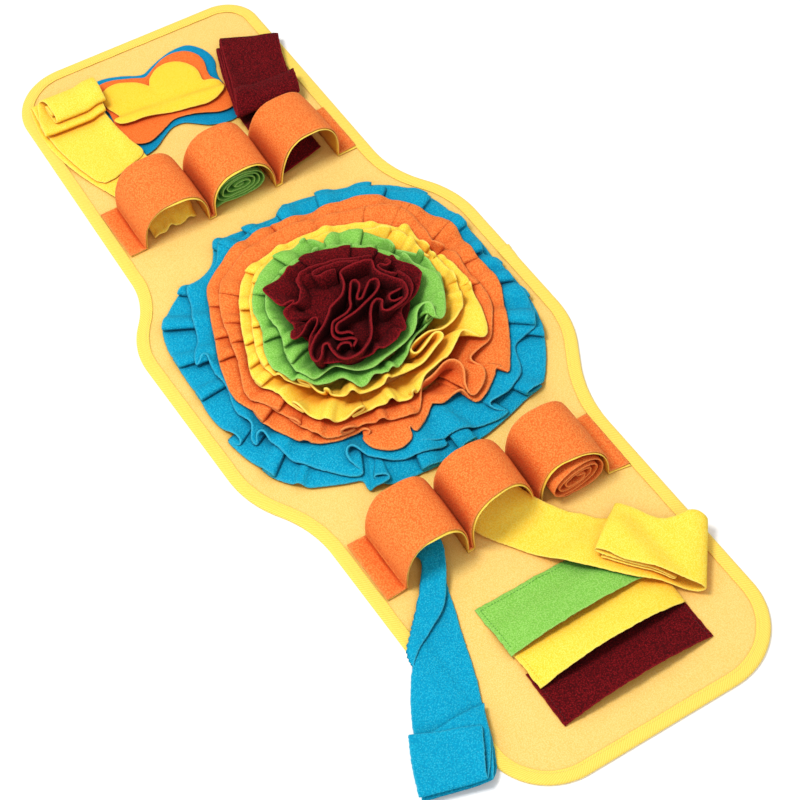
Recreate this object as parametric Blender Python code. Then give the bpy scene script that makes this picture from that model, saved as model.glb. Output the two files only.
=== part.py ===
"""Snuffle mat: a long felt panel bound at its edge, with two rows of fleece tunnels, a gathered
fleece rosette in the middle, a layered flower, three flap pockets, and loose fleece strips and
rolls pushed through the tunnels.

The mat lies flat. X runs across it, Y along it with the flower at +Y, and Z up. The origin is
the centre of its underside. Sizes in the tables are millimetres.
"""

import math

import bmesh
import bpy
from mathutils import Vector

MM = 0.001

# Driving sizes
PANEL_THICK = 3.0
BINDING_THICK = 1.0
BINDING_LAP = 12.5
RIM_CLEARANCE = 1.0
FLEECE_THICK = 1.6
LINING_THICK = 1.2
SEAT_GAP = 0.3
ARC_STEP = 14.0  # degrees between the points of a rounded corner

SEAT = PANEL_THICK + SEAT_GAP
CLOTH_LEVEL = SEAT + FLEECE_THICK / 2
LAYER_STEP = FLEECE_THICK + 2 * SEAT_GAP

COLOURS = {
    "felt": (0.93, 0.72, 0.30, 1.0),
    "binding": (0.95, 0.75, 0.09, 1.0),
    "orange": (0.90, 0.22, 0.06, 1.0),
    "yellow": (0.95, 0.72, 0.05, 1.0),
    "blue": (0.01, 0.32, 0.60, 1.0),
    "green": (0.16, 0.55, 0.10, 1.0),
    "burgundy": (0.14, 0.01, 0.02, 1.0),
}

# Corners of the mat's outer edge, in order round it, each rounded with an arc
OUTLINE = [
    # x, y, radius
    (146, -506, 74),
    (142, -178, 150),
    (185, -97, 114),
    (184, 109, 112),
    (143, 171, 116),
    (143, 489, 40),
    (-138, 506, 62),
    (-148, 162, 84),
    (-186, 114, 84),
    (-183, -105, 116),
    (-146, -165, 120),
    (-141, -506, 63),
]

# Two rows of three arches sewn down between them; near is the -Y edge
FAR_ARCHES = [
    # near_left, near_right, near_height, near_lean, far_left, far_right, far_height, far_lean
    (-112, -43, 43, 2, -110, -42, 48, 0),
    (-34, 34, 45, 0, -34, 34, 46, 3),
    (43, 108, 48, 6, 43, 108, 44, 4),
]
NEAR_ARCHES = [
    # near_left, near_right, near_height, near_lean, far_left, far_right, far_height, far_lean
    (-108, -45, 49, 2, -108, -43, 51, 0),
    (-36, 32, 54, -5, -35, 34, 52, -4),
    (42, 107, 44, 0, 42, 108, 50, -2),
]
FAR_ROW = {"left": -131, "right": 130, "near_y": (220, 220, 220, 220), "far_y": 286}
NEAR_ROW = {"left": -130, "right": 129, "near_y": (-268, -264, -254, -267), "far_y": -199}
VALLEY_X = (-130, -40, 38, 130)
ARCH_STEPS = 10
ARCH_SHOULDER = 0.72  # below 1, the arch is fuller at its sides than an ellipse
ARCH_CROWN = 0.82
ARCH_FOOT = 4.0  # flat cloth between an arch and its seam

# Gathered rings of the rosette, from the outside in. Each is sewn down at its inner radius.
ROSETTE_X = 3.0
ROSETTE_Y = 13.0
RING_SEGMENTS = 40
RINGS = [
    # name, colour, sewn_radius, reach_x, reach_y, edge_height, ruffle, ruffle_phase
    ("rosette_blue_lower", "blue", 128, 162, 176, 6.5, 1.4, 0.0),
    ("rosette_blue_upper", "blue", 121, 155, 168, 11.5, 2.2, 0.2),
    ("rosette_orange_lower", "orange", 105, 140, 149, 18.0, 2.8, 0.4),
    ("rosette_orange_upper", "orange", 98, 132, 138, 23.0, 3.0, 0.6),
    ("rosette_yellow_lower", "yellow", 82, 118, 120, 30.0, 3.0, 0.8),
    ("rosette_yellow_upper", "yellow", 75, 110, 112, 34.5, 3.0, 1.0),
    ("rosette_green_lower", "green", 60, 96, 97, 41.5, 3.0, 1.2),
    ("rosette_green_upper", "green", 53, 89, 90, 46.0, 3.0, 1.4),
]
RUFFLES = 10  # main waves round each ring
RING_RISES = (1.0, 0.55, 0.0)  # rows of a ring, from its free edge down to its seam
RUFFLE_REACH = 1.5  # a wave swings this much further out than up
CENTRE_FOLDS = 6
CENTRE_TWIST = 0.12  # radians that the folds turn for each millimetre outwards
CENTRE_SECTIONS = [
    # radius, height, fold_depth
    (34, SEAT, 0.0),
    (43, 30, 0.6),
    (60, 45, 1.2),
    (76, 52, 2.2),
    (70, 56, 2.4),
    (50, 59, 2.8),
    (26, 60, 3.0),
]

FLOWER_X = 0.0
FLOWER_Y = 397.0
FLOWER_SEGMENTS = 32
PETAL_FULLNESS = 0.8
FLOWER_SHARES = (0.55, 1.0)  # where the rings of points lie between middle and edge
FLOWER = [
    # name, colour, level, petal_reach, side_notch, far_notch, near_notch, lift
    ("flower_blue", "blue", 0, 83, 64, 48, 42, 0.0),
    ("flower_orange", "orange", 1, 74, 55, 38, 37, 0.8),
    ("flower_yellow", "yellow", 2, 62, 47, 29, 25, 1.6),
]

FLAP_COLUMNS = 9
FLAP_SHARES = (0.0, 0.3, 0.55, 0.8, 1.0)  # rows of points from the seam to the free edge
FLAP_SWELL = 1.2
FLAPS = [
    # name, colour, sewn_y, free_y, left, right, sewn_level, bulge
    ("flap_burgundy", "burgundy", -404, -458, -70, 80, 0, 9),
    ("flap_yellow", "yellow", -363, -419, -71, 80, 1.1, 10),
    ("flap_green", "green", -321, -377, -73, 72, 1.4, 9),
]

# Loose strips, each row a chord across the cloth from its left edge to its right edge. A row
# with a turn is followed by a fold back over the layer below, that many layers up.
YELLOW_NEAR_STRIP = [
    # left_x, left_y, right_x, right_y, layer, turn
    (-27, -206, 25, -206, 0, 0),
    (-25, -258, 24, -260, 0, 0),
    (-10, -284, 45, -276, 0, 0),
    (5, -304, 58, -284, 0, 0),
    (20, -324, 70, -296, 0, 0),
    (38, -347, 90, -312, 0, 0),
    (66, -383, 122, -338, 0, 0),
    (92, -402, 141, -362, 0, 1),
    (71, -372, 123, -334, 1, 0),
    (50, -341, 99, -306, 1, 1),
    (71, -366, 121, -330, 2, 0),
    (93, -398, 137, -358, 2, 1),
    (71, -368, 118, -330, 3, 0),
    (47, -334, 95, -301, 3, 0),
]
BLUE_STRIP = [
    # left_x, left_y, right_x, right_y, layer, turn
    (-98, -206, -54, -206, 0, 0),
    (-96, -244, -62, -240, 0, 0),
    (-103, -270, -77, -260, 0, 0),
    (-117, -286, -82, -274, 0, 0),
    (-129, -301, -86, -288, 0, 0),
    (-140, -316, -90, -303, 0, 0),
    (-150, -330, -94, -320, 0, 0),
    (-160, -346, -99, -338, 0, 0),
    (-182, -390, -119, -398, 0, 0),
    (-200, -432, -139, -450, 0, 1),
    (-193, -415, -136, -436, 1, 0),
    (-186, -396, -131, -418, 1, 0),
]
BURGUNDY_STRIP = [
    # left_x, left_y, right_x, right_y, layer, turn
    (51, 238, 99, 234, 0, 0),
    (50, 286, 102, 284, 0, 0),
    (53, 330, 116, 322, 0, 0),
    (66, 385, 131, 366, 0, 0),
    (84, 430, 141, 398, 0, 2),
    (68, 385, 131, 364, 2, 0),
    (55, 344, 121, 340, 2, 0),
    (53, 330, 119, 326, 2, -1),
    (58, 345, 121, 341, 1, 0),
    (63, 362, 125, 352, 1, 0),
]

STRIP_TURN = 0.6  # reach of a round fold, in layers
STRIP_TURN_POINTS = [
    # ahead, up
    (0.87, 0.25),
    (1.0, 0.5),
    (0.87, 0.75),
    (0.0, 1.0),
]

# What a loose strip climbs over: how far up, and between which places it climbs
BINDING_RISE = BINDING_THICK + SEAT_GAP + FLEECE_THICK
ROLLED_BINDING_RISE = BINDING_THICK + 2 * SEAT_GAP
FLAPS_RISE = 8.4
FLAPS_CLIMB_Y = (-298, -318)
FLAPS_CLIMB_X = (94, 84)
PETALS_RISE = 7.6
PETALS_CLIMB_Y = (318, 330)
PETALS_RIGHT_CLIMB_X = (84, 73)
PETALS_LEFT_CLIMB_X = (-84, -74)
RIGHT_BINDING_CLIMB_X = (112, 127)
LEFT_BINDING_CLIMB_X = (-116, -128)
ROLLED_BINDING_CLIMB_X = (-116, -122)
TABLE_DROP_X = (-146, -162)

YELLOW_ROLL_STRIP = [
    # y, left, right
    (236, -100, -52),
    (288, -103, -52),
    (335, -114, -55),
    (380, -124, -61),
    (424, -129, -66),
    (442, -126, -60),
    (462, -123, -56),
]
YELLOW_ROLL = {"y": 443.0, "half_width": 18.0, "half_height": 12.5}
GREEN_ROLL = {"x": 0.0, "half_width": 26.0, "half_height": 16.0, "near_y": 229, "far_y": 284}
ORANGE_ROLL = {"x": 74.5, "half_width": 26.0, "half_height": 18.5, "near_y": -262, "far_y": -203}
TUNNEL_ROLL_POINTS = 20
YELLOW_ROLL_POINTS = 16
YELLOW_ROLL_SEAM = 3  # points left open where the roll meets its own flat strip
YELLOW_ROLL_RIDGE = 0.62  # where a row of points runs along the strip, across its width
ROLL_FULLNESS = 0.85
ROLL_ENDS = [
    # share_along, size
    (0.0, 0.93),
    (0.08, 1.0),
    (0.92, 1.0),
    (1.0, 0.93),
]


def clear_scene():
    for old in list(bpy.data.objects):
        bpy.data.objects.remove(old, do_unlink=True)


def cloth_material(colour):
    material = bpy.data.materials.get(colour)
    if material is None:
        material = bpy.data.materials.new(colour)
        material.use_nodes = True
        shader = material.node_tree.nodes["Principled BSDF"]
        shader.inputs["Base Color"].default_value = COLOURS[colour]
        shader.inputs["Roughness"].default_value = 0.95
        shader.inputs["Metallic"].default_value = 0.0
    return material


def add_solid(name, points, faces, colour):
    """A closed solid from points in millimetres; its faces are turned to point outwards."""
    mesh = bpy.data.meshes.new(name)
    mesh.from_pydata([Vector(point) * MM for point in points], [], faces)
    shape = bmesh.new()
    shape.from_mesh(mesh)
    bmesh.ops.triangulate(shape, faces=shape.faces[:])
    bmesh.ops.recalc_face_normals(shape, faces=shape.faces[:])
    shape.to_mesh(mesh)
    shape.free()
    mesh.materials.append(cloth_material(colour))
    solid = bpy.data.objects.new(name, mesh)
    bpy.context.scene.collection.objects.link(solid)
    return solid


def smoothstep(start, end, value):
    t = min(max((value - start) / (end - start), 0.0), 1.0)
    return t * t * (3 - 2 * t)


def signed_power(value, power):
    return math.copysign(abs(value) ** power, value)


def between(table, value):
    """The columns of a table after its first, at a value of the first, in straight lines."""
    for low, high in zip(table[:-1], table[1:]):
        if value <= high[0]:
            break
    t = min(max((value - low[0]) / (high[0] - low[0]), 0.0), 1.0)
    return [a + (b - a) * t for a, b in zip(low[1:], high[1:])]


# Flat panel and binding


def mat_edge(inset):
    """Points round the mat's edge, moved in from the outline by inset, with rounded corners."""
    corners = [Vector((x, y)) for x, y, _ in OUTLINE]
    count = len(corners)
    moved = []
    for i in range(count):
        before = (corners[i] - corners[i - 1]).normalized()
        after = (corners[(i + 1) % count] - corners[i]).normalized()
        inward = Vector((-before.y, before.x)) + Vector((-after.y, after.x))
        moved.append(corners[i] + inward * (inset / (1 + before.dot(after))))
    points = []
    for i, (_, _, radius) in enumerate(OUTLINE):
        before = (moved[i] - moved[i - 1]).normalized()
        after = (moved[(i + 1) % count] - moved[i]).normalized()
        turn = math.atan2(before.x * after.y - before.y * after.x, before.dot(after))
        side = 1 if turn > 0 else -1
        arc_radius = radius - side * inset
        start = moved[i] - before * (arc_radius * math.tan(abs(turn) / 2))
        centre = start + Vector((-before.y, before.x)) * (side * arc_radius)
        steps = max(2, round(math.degrees(abs(turn)) / ARC_STEP))
        for step in range(steps + 1):
            angle = turn * step / steps
            arm = start - centre
            points.append(centre + Vector((
                arm.x * math.cos(angle) - arm.y * math.sin(angle),
                arm.x * math.sin(angle) + arm.y * math.cos(angle),
            )))
    return points


def stack_loops(loops, closed):
    """Faces between loops of equal length, capped at both ends or joined into a ring."""
    size = len(loops[0])
    faces = []
    pairs = len(loops) if closed else len(loops) - 1
    for k in range(pairs):
        low = k * size
        high = ((k + 1) % len(loops)) * size
        for i in range(size):
            j = (i + 1) % size
            faces.append((low + i, low + j, high + j, high + i))
    if not closed:
        faces.append(tuple(reversed(range(size))))
        faces.append(tuple(range((len(loops) - 1) * size, len(loops) * size)))
    return [point for loop in loops for point in loop], faces


def edge_loops(section):
    return [[(p.x, p.y, height) for p in mat_edge(inset)] for inset, height in section]


def build_panel():
    """Felt panel. Its rim is pressed thinner, so that it and the binding both lie flat."""
    rim_inset = BINDING_THICK + SEAT_GAP
    step_inset = BINDING_LAP + RIM_CLEARANCE
    rim_level = BINDING_THICK + SEAT_GAP
    section = [
        (step_inset, 0.0),
        (step_inset - RIM_CLEARANCE / 2, rim_level),
        (rim_inset, rim_level),
        (rim_inset, PANEL_THICK),
    ]
    points, faces = stack_loops(edge_loops(section), closed=False)
    add_solid("felt_panel", points, faces, "felt")


def build_binding():
    """Tape folded over the panel's rim, with one lap above it and one below."""
    over = SEAT + BINDING_THICK
    section = [
        (0.0, 0.0),
        (0.0, over),
        (BINDING_LAP, over),
        (BINDING_LAP, SEAT),
        (BINDING_THICK, SEAT),
        (BINDING_THICK, BINDING_THICK),
        (BINDING_LAP, BINDING_THICK),
        (BINDING_LAP, 0.0),
    ]
    points, faces = stack_loops(edge_loops(section), closed=True)
    add_solid("binding", points, faces, "binding")


# Tunnels


def arch_profile(row, arches, edge, base, offset):
    """X and Z of the row's underside at its near or far edge, moved out by offset."""
    column = 0 if edge == "near" else 4
    line = [(row["left"], 0.0), (arches[0][column] - ARCH_FOOT, 0.0)]
    for arch in arches:
        left, right, height, lean = arch[column:column + 4]
        middle = (left + right) / 2
        half = (right - left) / 2
        for step in range(ARCH_STEPS + 1):
            angle = math.pi * (1 - step / ARCH_STEPS)
            across = signed_power(math.cos(angle), ARCH_SHOULDER)
            rise = max(math.sin(angle), 0.0) ** ARCH_CROWN
            line.append((middle + half * across + lean * rise, height * rise))
    line += [(arches[-1][column + 1] + ARCH_FOOT, 0.0), (row["right"], 0.0)]
    moved = []
    for i, point in enumerate(line):
        before = Vector(point) - Vector(line[max(i - 1, 0)])
        after = Vector(line[min(i + 1, len(line) - 1)]) - Vector(point)
        before = before.normalized() if before.length > 0 else after.normalized()
        after = after.normalized() if after.length > 0 else before
        normal = Vector((-before.y, before.x)) + Vector((-after.y, after.x))
        normal *= 1 / max(1 + before.dot(after), 0.5)
        moved.append((point[0] + normal.x * offset, base + point[1] + normal.y * offset))
    return moved


def build_tunnel_layer(name, row, arches, start, thickness, colour):
    sections = []
    near_table = list(zip(VALLEY_X, row["near_y"]))
    for edge in ("near", "far"):
        under = arch_profile(row, arches, edge, SEAT, start)
        over = arch_profile(row, arches, edge, SEAT, start + thickness)
        loop = []
        for x, z in under + over[::-1]:
            y = between(near_table, x)[0] if edge == "near" else row["far_y"]
            loop.append((x, y, z))
        sections.append(loop)
    size = len(sections[0])
    half = size // 2
    points, faces = stack_loops(sections, closed=False)
    faces = faces[:-2]
    for first in (0, size):
        for i in range(half - 1):
            faces.append((first + i, first + i + 1, first + size - 2 - i, first + size - 1 - i))
    add_solid(name, points, faces, colour)


def build_tunnels():
    outer_start = LINING_THICK + SEAT_GAP
    for place, row, arches in (("far", FAR_ROW, FAR_ARCHES), ("near", NEAR_ROW, NEAR_ARCHES)):
        build_tunnel_layer(f"tunnel_lining_{place}", row, arches, 0.0, LINING_THICK, "yellow")
        build_tunnel_layer(f"tunnel_strip_{place}", row, arches, outer_start, FLEECE_THICK, "orange")


# Cloth sheets


def grid_normals(grid, closed):
    """A unit normal at each point of a grid of rows; closed rows join up end to end."""
    rows = len(grid)
    columns = len(grid[0])
    normals = []
    for i in range(rows):
        line = []
        for j in range(columns):
            right = (j + 1) % columns if closed else min(j + 1, columns - 1)
            left = (j - 1) % columns if closed else max(j - 1, 0)
            across = grid[i][right] - grid[i][left]
            below = grid[i][j] - grid[max(i - 1, 0)][j]
            above = grid[min(i + 1, rows - 1)][j] - grid[i][j]
            along = Vector()
            for part in (below, above):
                if part.length > 0:
                    along += part.normalized()
            line.append(across.cross(along).normalized())
        normals.append(line)
    return normals


def build_sheet(name, grid, thickness, colour, closed=False):
    """A cloth of even thickness, with its middle on a grid of points."""
    normals = grid_normals(grid, closed)
    rows = len(grid)
    columns = len(grid[0])
    points = []
    for shift in (-thickness / 2, thickness / 2):
        for i in range(rows):
            points += [grid[i][j] + normals[i][j] * shift for j in range(columns)]
    back = rows * columns
    faces = []
    cells = columns if closed else columns - 1
    for i in range(rows - 1):
        for j in range(cells):
            right = (j + 1) % columns
            corner = (
                i * columns + j, i * columns + right,
                (i + 1) * columns + right, (i + 1) * columns + j,
            )
            faces.append(corner)
            faces.append(tuple(back + k for k in reversed(corner)))
    for row in (0, rows - 1):
        for j in range(cells):
            a = row * columns + j
            b = row * columns + (j + 1) % columns
            faces.append((a, b, back + b, back + a))
    if not closed:
        for column in (0, columns - 1):
            for i in range(rows - 1):
                a = i * columns + column
                b = a + columns
                faces.append((a, b, back + b, back + a))
    add_solid(name, points, faces, colour)


# Rosette


def ruffle(angle, phase):
    """Uneven waves: the main ones, with fewer and lower ones across them."""
    main = 0.7 * math.sin(RUFFLES * angle + phase)
    return main + 0.3 * math.sin((RUFFLES - 3) * angle + 2 * phase)


def build_rosette_rings():
    """Gathered strips sewn down in rings. Each stands up at its seam and flares outwards."""
    for name, colour, sewn, reach_x, reach_y, height, wave, phase in RINGS:
        grid = []
        for rise in RING_RISES:
            flare = 1 - math.cos(rise * math.pi / 2)
            climb = math.sin(rise * math.pi / 2)
            row = []
            for k in range(RING_SEGMENTS):
                angle = 2 * math.pi * k / RING_SEGMENTS
                swing = ruffle(angle, phase) * wave * rise
                across = sewn + (reach_x - sewn) * flare + RUFFLE_REACH * swing
                along = sewn + (reach_y - sewn) * flare + RUFFLE_REACH * swing
                row.append(Vector((
                    ROSETTE_X + across * math.cos(angle),
                    ROSETTE_Y + along * math.sin(angle),
                    SEAT + FLEECE_THICK / 2 + (height - SEAT) * climb + swing * climb,
                )))
            grid.append(row)
        build_sheet(name, grid, FLEECE_THICK, colour, closed=True)


def build_rosette_centre():
    """The innermost strip, gathered so tightly that its folds stand packed as one mass."""
    loops = []
    for radius, height, depth in CENTRE_SECTIONS:
        loop = []
        for k in range(RING_SEGMENTS):
            angle = 2 * math.pi * k / RING_SEGMENTS
            fold = depth * math.sin(CENTRE_FOLDS * angle + CENTRE_TWIST * radius)
            loop.append((
                ROSETTE_X + (radius + fold) * math.cos(angle),
                ROSETTE_Y + (radius + fold) * math.sin(angle),
                height + fold,
            ))
        loops.append(loop)
    points, faces = stack_loops(loops, closed=False)
    faces = faces[:-1]
    crown = len(points)
    points.append((ROSETTE_X, ROSETTE_Y, CENTRE_SECTIONS[-1][1]))
    first = (len(CENTRE_SECTIONS) - 1) * RING_SEGMENTS
    for k in range(RING_SEGMENTS):
        faces.append((first + k, first + (k + 1) % RING_SEGMENTS, crown))
    add_solid("rosette_burgundy", points, faces, "burgundy")


# Flower


def petal_reach(angle, petal, side_notch, far_notch, near_notch):
    """Edge distance of a four-petal shape, which dips between its petals."""
    end_notch = far_notch if math.sin(angle) > 0 else near_notch
    dip = side_notch * math.cos(angle) ** 2 + end_notch * math.sin(angle) ** 2
    return dip + (petal - dip) * abs(math.sin(2 * angle)) ** PETAL_FULLNESS


def build_flower():
    for name, colour, level, petal, side_notch, far_notch, near_notch, lift in FLOWER:
        base = SEAT + level * (FLEECE_THICK + SEAT_GAP)
        points = [(FLOWER_X, FLOWER_Y, base), (FLOWER_X, FLOWER_Y, base + FLEECE_THICK)]
        rings = []
        for share in FLOWER_SHARES:
            for top in (0.0, FLEECE_THICK):
                ring = []
                for k in range(FLOWER_SEGMENTS):
                    angle = 2 * math.pi * k / FLOWER_SEGMENTS
                    reach = share * petal_reach(angle, petal, side_notch, far_notch, near_notch)
                    ring.append(len(points))
                    points.append((
                        FLOWER_X + reach * math.cos(angle),
                        FLOWER_Y + reach * math.sin(angle),
                        base + lift * share ** 2 + top,
                    ))
                rings.append(ring)
        inner_low, inner_high, edge_low, edge_high = rings
        faces = []
        for k in range(FLOWER_SEGMENTS):
            n = (k + 1) % FLOWER_SEGMENTS
            faces.append((0, inner_low[n], inner_low[k]))
            faces.append((1, inner_high[k], inner_high[n]))
            faces.append((inner_low[k], inner_low[n], edge_low[n], edge_low[k]))
            faces.append((inner_high[k], edge_high[k], edge_high[n], inner_high[n]))
            faces.append((edge_low[k], edge_low[n], edge_high[n], edge_high[k]))
        add_solid(name, points, faces, colour)


# Flaps


def build_flaps():
    """Pocket flaps sewn down along their far edge and at both sides. The near edge is free."""
    step_start, step_end = FLAP_SHARES[1:3]
    for name, colour, sewn_y, free_y, left, right, level, bulge in FLAPS:
        grid = []
        for share in FLAP_SHARES:
            row = []
            for j in range(FLAP_COLUMNS):
                across = j / (FLAP_COLUMNS - 1)
                crown = 1 - (2 * across - 1) ** 2
                step = level * (FLEECE_THICK + SEAT_GAP) * smoothstep(step_start, step_end, share)
                row.append(Vector((
                    left + (right - left) * across,
                    sewn_y + (free_y - sewn_y) * share,
                    CLOTH_LEVEL + step + bulge * crown * share ** FLAP_SWELL,
                )))
            grid.append(row)
        build_sheet(name, grid, FLEECE_THICK, colour)


# Loose strips


def strip_level(x, y, layer, over):
    """Height of a strip's layer over what it lies on at this place."""
    return over(x, y) + layer * LAYER_STEP


def strip_grid(table, columns, over):
    """Rows of points along a strip, with a round turn at each fold."""
    grid = []
    for i, (left_x, left_y, right_x, right_y, layer, turn) in enumerate(table):
        left = Vector((left_x, left_y, 0))
        right = Vector((right_x, right_y, 0))
        steps = [(0.0, layer)]
        heading = Vector()
        if turn:
            last_left_x, last_left_y, last_right_x, last_right_y = table[i - 1][:4]
            last_middle = Vector((last_left_x + last_right_x, last_left_y + last_right_y, 0)) / 2
            heading = ((left + right) / 2 - last_middle).normalized()
            reach = STRIP_TURN * abs(turn) * LAYER_STEP
            steps += [(reach * ahead, layer + turn * up) for ahead, up in STRIP_TURN_POINTS]
        for ahead, height in steps:
            row = []
            for j in range(columns):
                place = left.lerp(right, j / (columns - 1)) + heading * ahead
                place.z = strip_level(place.x, place.y, height, over)
                row.append(place)
            grid.append(row)
    return grid


def over_flaps(x, y):
    """The mat's surface, above the flaps' near right corner and the binding's right edge."""
    flaps = FLAPS_RISE * smoothstep(*FLAPS_CLIMB_Y, y) * smoothstep(*FLAPS_CLIMB_X, x)
    return CLOTH_LEVEL + max(flaps, BINDING_RISE * smoothstep(*RIGHT_BINDING_CLIMB_X, x))


def over_left_edge(x, y):
    """The mat's surface, over the binding at its left edge, then down to the table."""
    rise = BINDING_RISE * smoothstep(*LEFT_BINDING_CLIMB_X, x)
    drop = (CLOTH_LEVEL + BINDING_RISE - FLEECE_THICK / 2) * smoothstep(*TABLE_DROP_X, x)
    return CLOTH_LEVEL + rise - drop


def over_flower_right(x, y):
    """The mat's surface, above the flower's petals and above the binding."""
    petals = PETALS_RISE * smoothstep(*PETALS_RIGHT_CLIMB_X, x) * smoothstep(*PETALS_CLIMB_Y, y)
    return CLOTH_LEVEL + petals + BINDING_RISE * smoothstep(*RIGHT_BINDING_CLIMB_X, x)


def build_loose_strips():
    for name, colour, table, columns, over in (
        ("strip_yellow_near", "yellow", YELLOW_NEAR_STRIP, 5, over_flaps),
        ("strip_blue", "blue", BLUE_STRIP, 8, over_left_edge),
        ("strip_burgundy", "burgundy", BURGUNDY_STRIP, 7, over_flower_right),
    ):
        build_sheet(name, strip_grid(table, columns, over), FLEECE_THICK, colour)


# Rolls


def roll_section(middle, half_width, half_height, points):
    """An oval of wound cloth, pressed flat where it rests."""
    section = []
    for k in range(points):
        angle = -math.pi / 2 + 2 * math.pi * k / points
        across = signed_power(math.cos(angle), ROLL_FULLNESS)
        rise = signed_power(math.sin(angle), ROLL_FULLNESS)
        section.append((middle + half_width * across, SEAT + half_height * (1 + rise)))
    return section


def build_tunnel_roll(name, colour, size):
    section = roll_section(size["x"], size["half_width"], size["half_height"], TUNNEL_ROLL_POINTS)
    centre_x = size["x"]
    centre_z = SEAT + size["half_height"]
    loops = []
    for share, scale in ROLL_ENDS:
        y = size["near_y"] + (size["far_y"] - size["near_y"]) * share
        loop = []
        for x, z in section:
            loop.append((centre_x + (x - centre_x) * scale, y, centre_z + (z - centre_z) * scale))
        loops.append(loop)
    points, faces = stack_loops(loops, closed=False)
    add_solid(name, points, faces, colour)


def over_flower_left(x, y):
    """Rise above the flower's petals and above the binding's left edge."""
    petals = PETALS_RISE * smoothstep(*PETALS_LEFT_CLIMB_X, x) * smoothstep(*PETALS_CLIMB_Y, y)
    return petals + ROLLED_BINDING_RISE * smoothstep(*ROLLED_BINDING_CLIMB_X, x)


def build_yellow_roll_strip():
    """A strip that lies flat from its tunnel to the mat's far corner and is rolled up there."""
    middle_y = YELLOW_ROLL["y"]
    half_width = YELLOW_ROLL["half_width"]
    roll = roll_section(middle_y, half_width, YELLOW_ROLL["half_height"], YELLOW_ROLL_POINTS)
    flat = [(y, SEAT) for y, _, _ in YELLOW_ROLL_STRIP if y < middle_y - half_width]
    back = [(y, SEAT + FLEECE_THICK) for y, _ in reversed(flat)]
    section = flat + roll[:len(roll) - YELLOW_ROLL_SEAM] + back
    loops = []
    for side in (0, 1):
        loop = []
        for y, z in section:
            x = between(YELLOW_ROLL_STRIP, y)[side]
            loop.append((x, y, z + over_flower_left(x, y)))
        loops.append(loop)
    middle = []
    for y, z in section:
        left, right = between(YELLOW_ROLL_STRIP, y)
        x = left + (right - left) * YELLOW_ROLL_RIDGE
        middle.append((x, y, z + over_flower_left(x, y)))
    points, faces = stack_loops([loops[0], middle, loops[1]], closed=False)
    add_solid("strip_yellow_rolled", points, faces, "yellow")


def build_rolls():
    build_tunnel_roll("roll_green", "green", GREEN_ROLL)
    build_tunnel_roll("roll_orange", "orange", ORANGE_ROLL)
    build_yellow_roll_strip()


clear_scene()
build_panel()
build_binding()
build_tunnels()
build_rosette_rings()
build_rosette_centre()
build_flower()
build_flaps()
build_loose_strips()
build_rolls()
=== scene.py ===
import math

import bpy
import numpy as np
from mathutils import Matrix, Vector, geometry, noise


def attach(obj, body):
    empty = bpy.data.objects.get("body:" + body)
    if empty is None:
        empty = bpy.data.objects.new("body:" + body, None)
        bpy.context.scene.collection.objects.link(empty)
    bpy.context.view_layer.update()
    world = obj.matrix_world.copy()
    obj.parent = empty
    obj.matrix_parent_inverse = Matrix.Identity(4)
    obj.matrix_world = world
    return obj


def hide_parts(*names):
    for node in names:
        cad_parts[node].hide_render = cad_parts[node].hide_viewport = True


# The mat is laid out on a pale floor under soft studio light, and seen from above its near left
# side. Tables are in millimetres; X runs across the mat, Y along it, Z up.

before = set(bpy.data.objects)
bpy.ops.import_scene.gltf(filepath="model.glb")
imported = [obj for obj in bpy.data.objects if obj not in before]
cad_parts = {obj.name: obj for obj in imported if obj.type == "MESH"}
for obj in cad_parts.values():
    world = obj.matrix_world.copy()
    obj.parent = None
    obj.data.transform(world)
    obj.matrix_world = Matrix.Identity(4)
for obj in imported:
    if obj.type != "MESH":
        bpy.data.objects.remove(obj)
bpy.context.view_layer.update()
MM = 0.001

CAMERA_TURN = -26.6  # degrees round the mat
CAMERA_RISE = 52.4
CAMERA_ROLL = -6.4
CAMERA_DISTANCE = 2147.0
CAMERA_AIM = (-3.3, -82.7, 0.0)
CAMERA_LENS = 102.8

turn, rise, roll = (math.radians(a) for a in (CAMERA_TURN, CAMERA_RISE, CAMERA_ROLL))
back = Vector((math.sin(turn) * math.cos(rise), -math.cos(turn) * math.cos(rise), math.sin(rise)))
level_right = Vector((math.cos(turn), math.sin(turn), 0.0))
level_up = back.cross(level_right)
right = math.cos(roll) * level_right + math.sin(roll) * level_up
up = math.cos(roll) * level_up - math.sin(roll) * level_right
camera = bpy.data.objects.new("camera", bpy.data.cameras.new("camera"))
camera.data.lens = CAMERA_LENS
camera.matrix_world = Matrix.Translation((Vector(CAMERA_AIM) + back * CAMERA_DISTANCE) * MM) @ Matrix(
    (right, up, back)).transposed().to_4x4()
bpy.context.scene.collection.objects.link(camera)
bpy.context.scene.camera = camera


def dye(red, green, blue):
    """A colour as seen on a screen, 0 to 255, as the shader's linear colour."""
    channels = [c / 255 for c in (red, green, blue)]
    linear = [c / 12.92 if c <= 0.04045 else ((c + 0.055) / 1.055) ** 2.4 for c in channels]
    return (*linear, 1.0)


def set_sockets(node, values):
    for socket, value in values.items():
        node.inputs[socket].default_value = value


def new_material(name):
    """A material, its node tree and its shader."""
    material = bpy.data.materials.new(name)
    material.use_nodes = True
    return material, material.node_tree, material.node_tree.nodes["Principled BSDF"]


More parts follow.
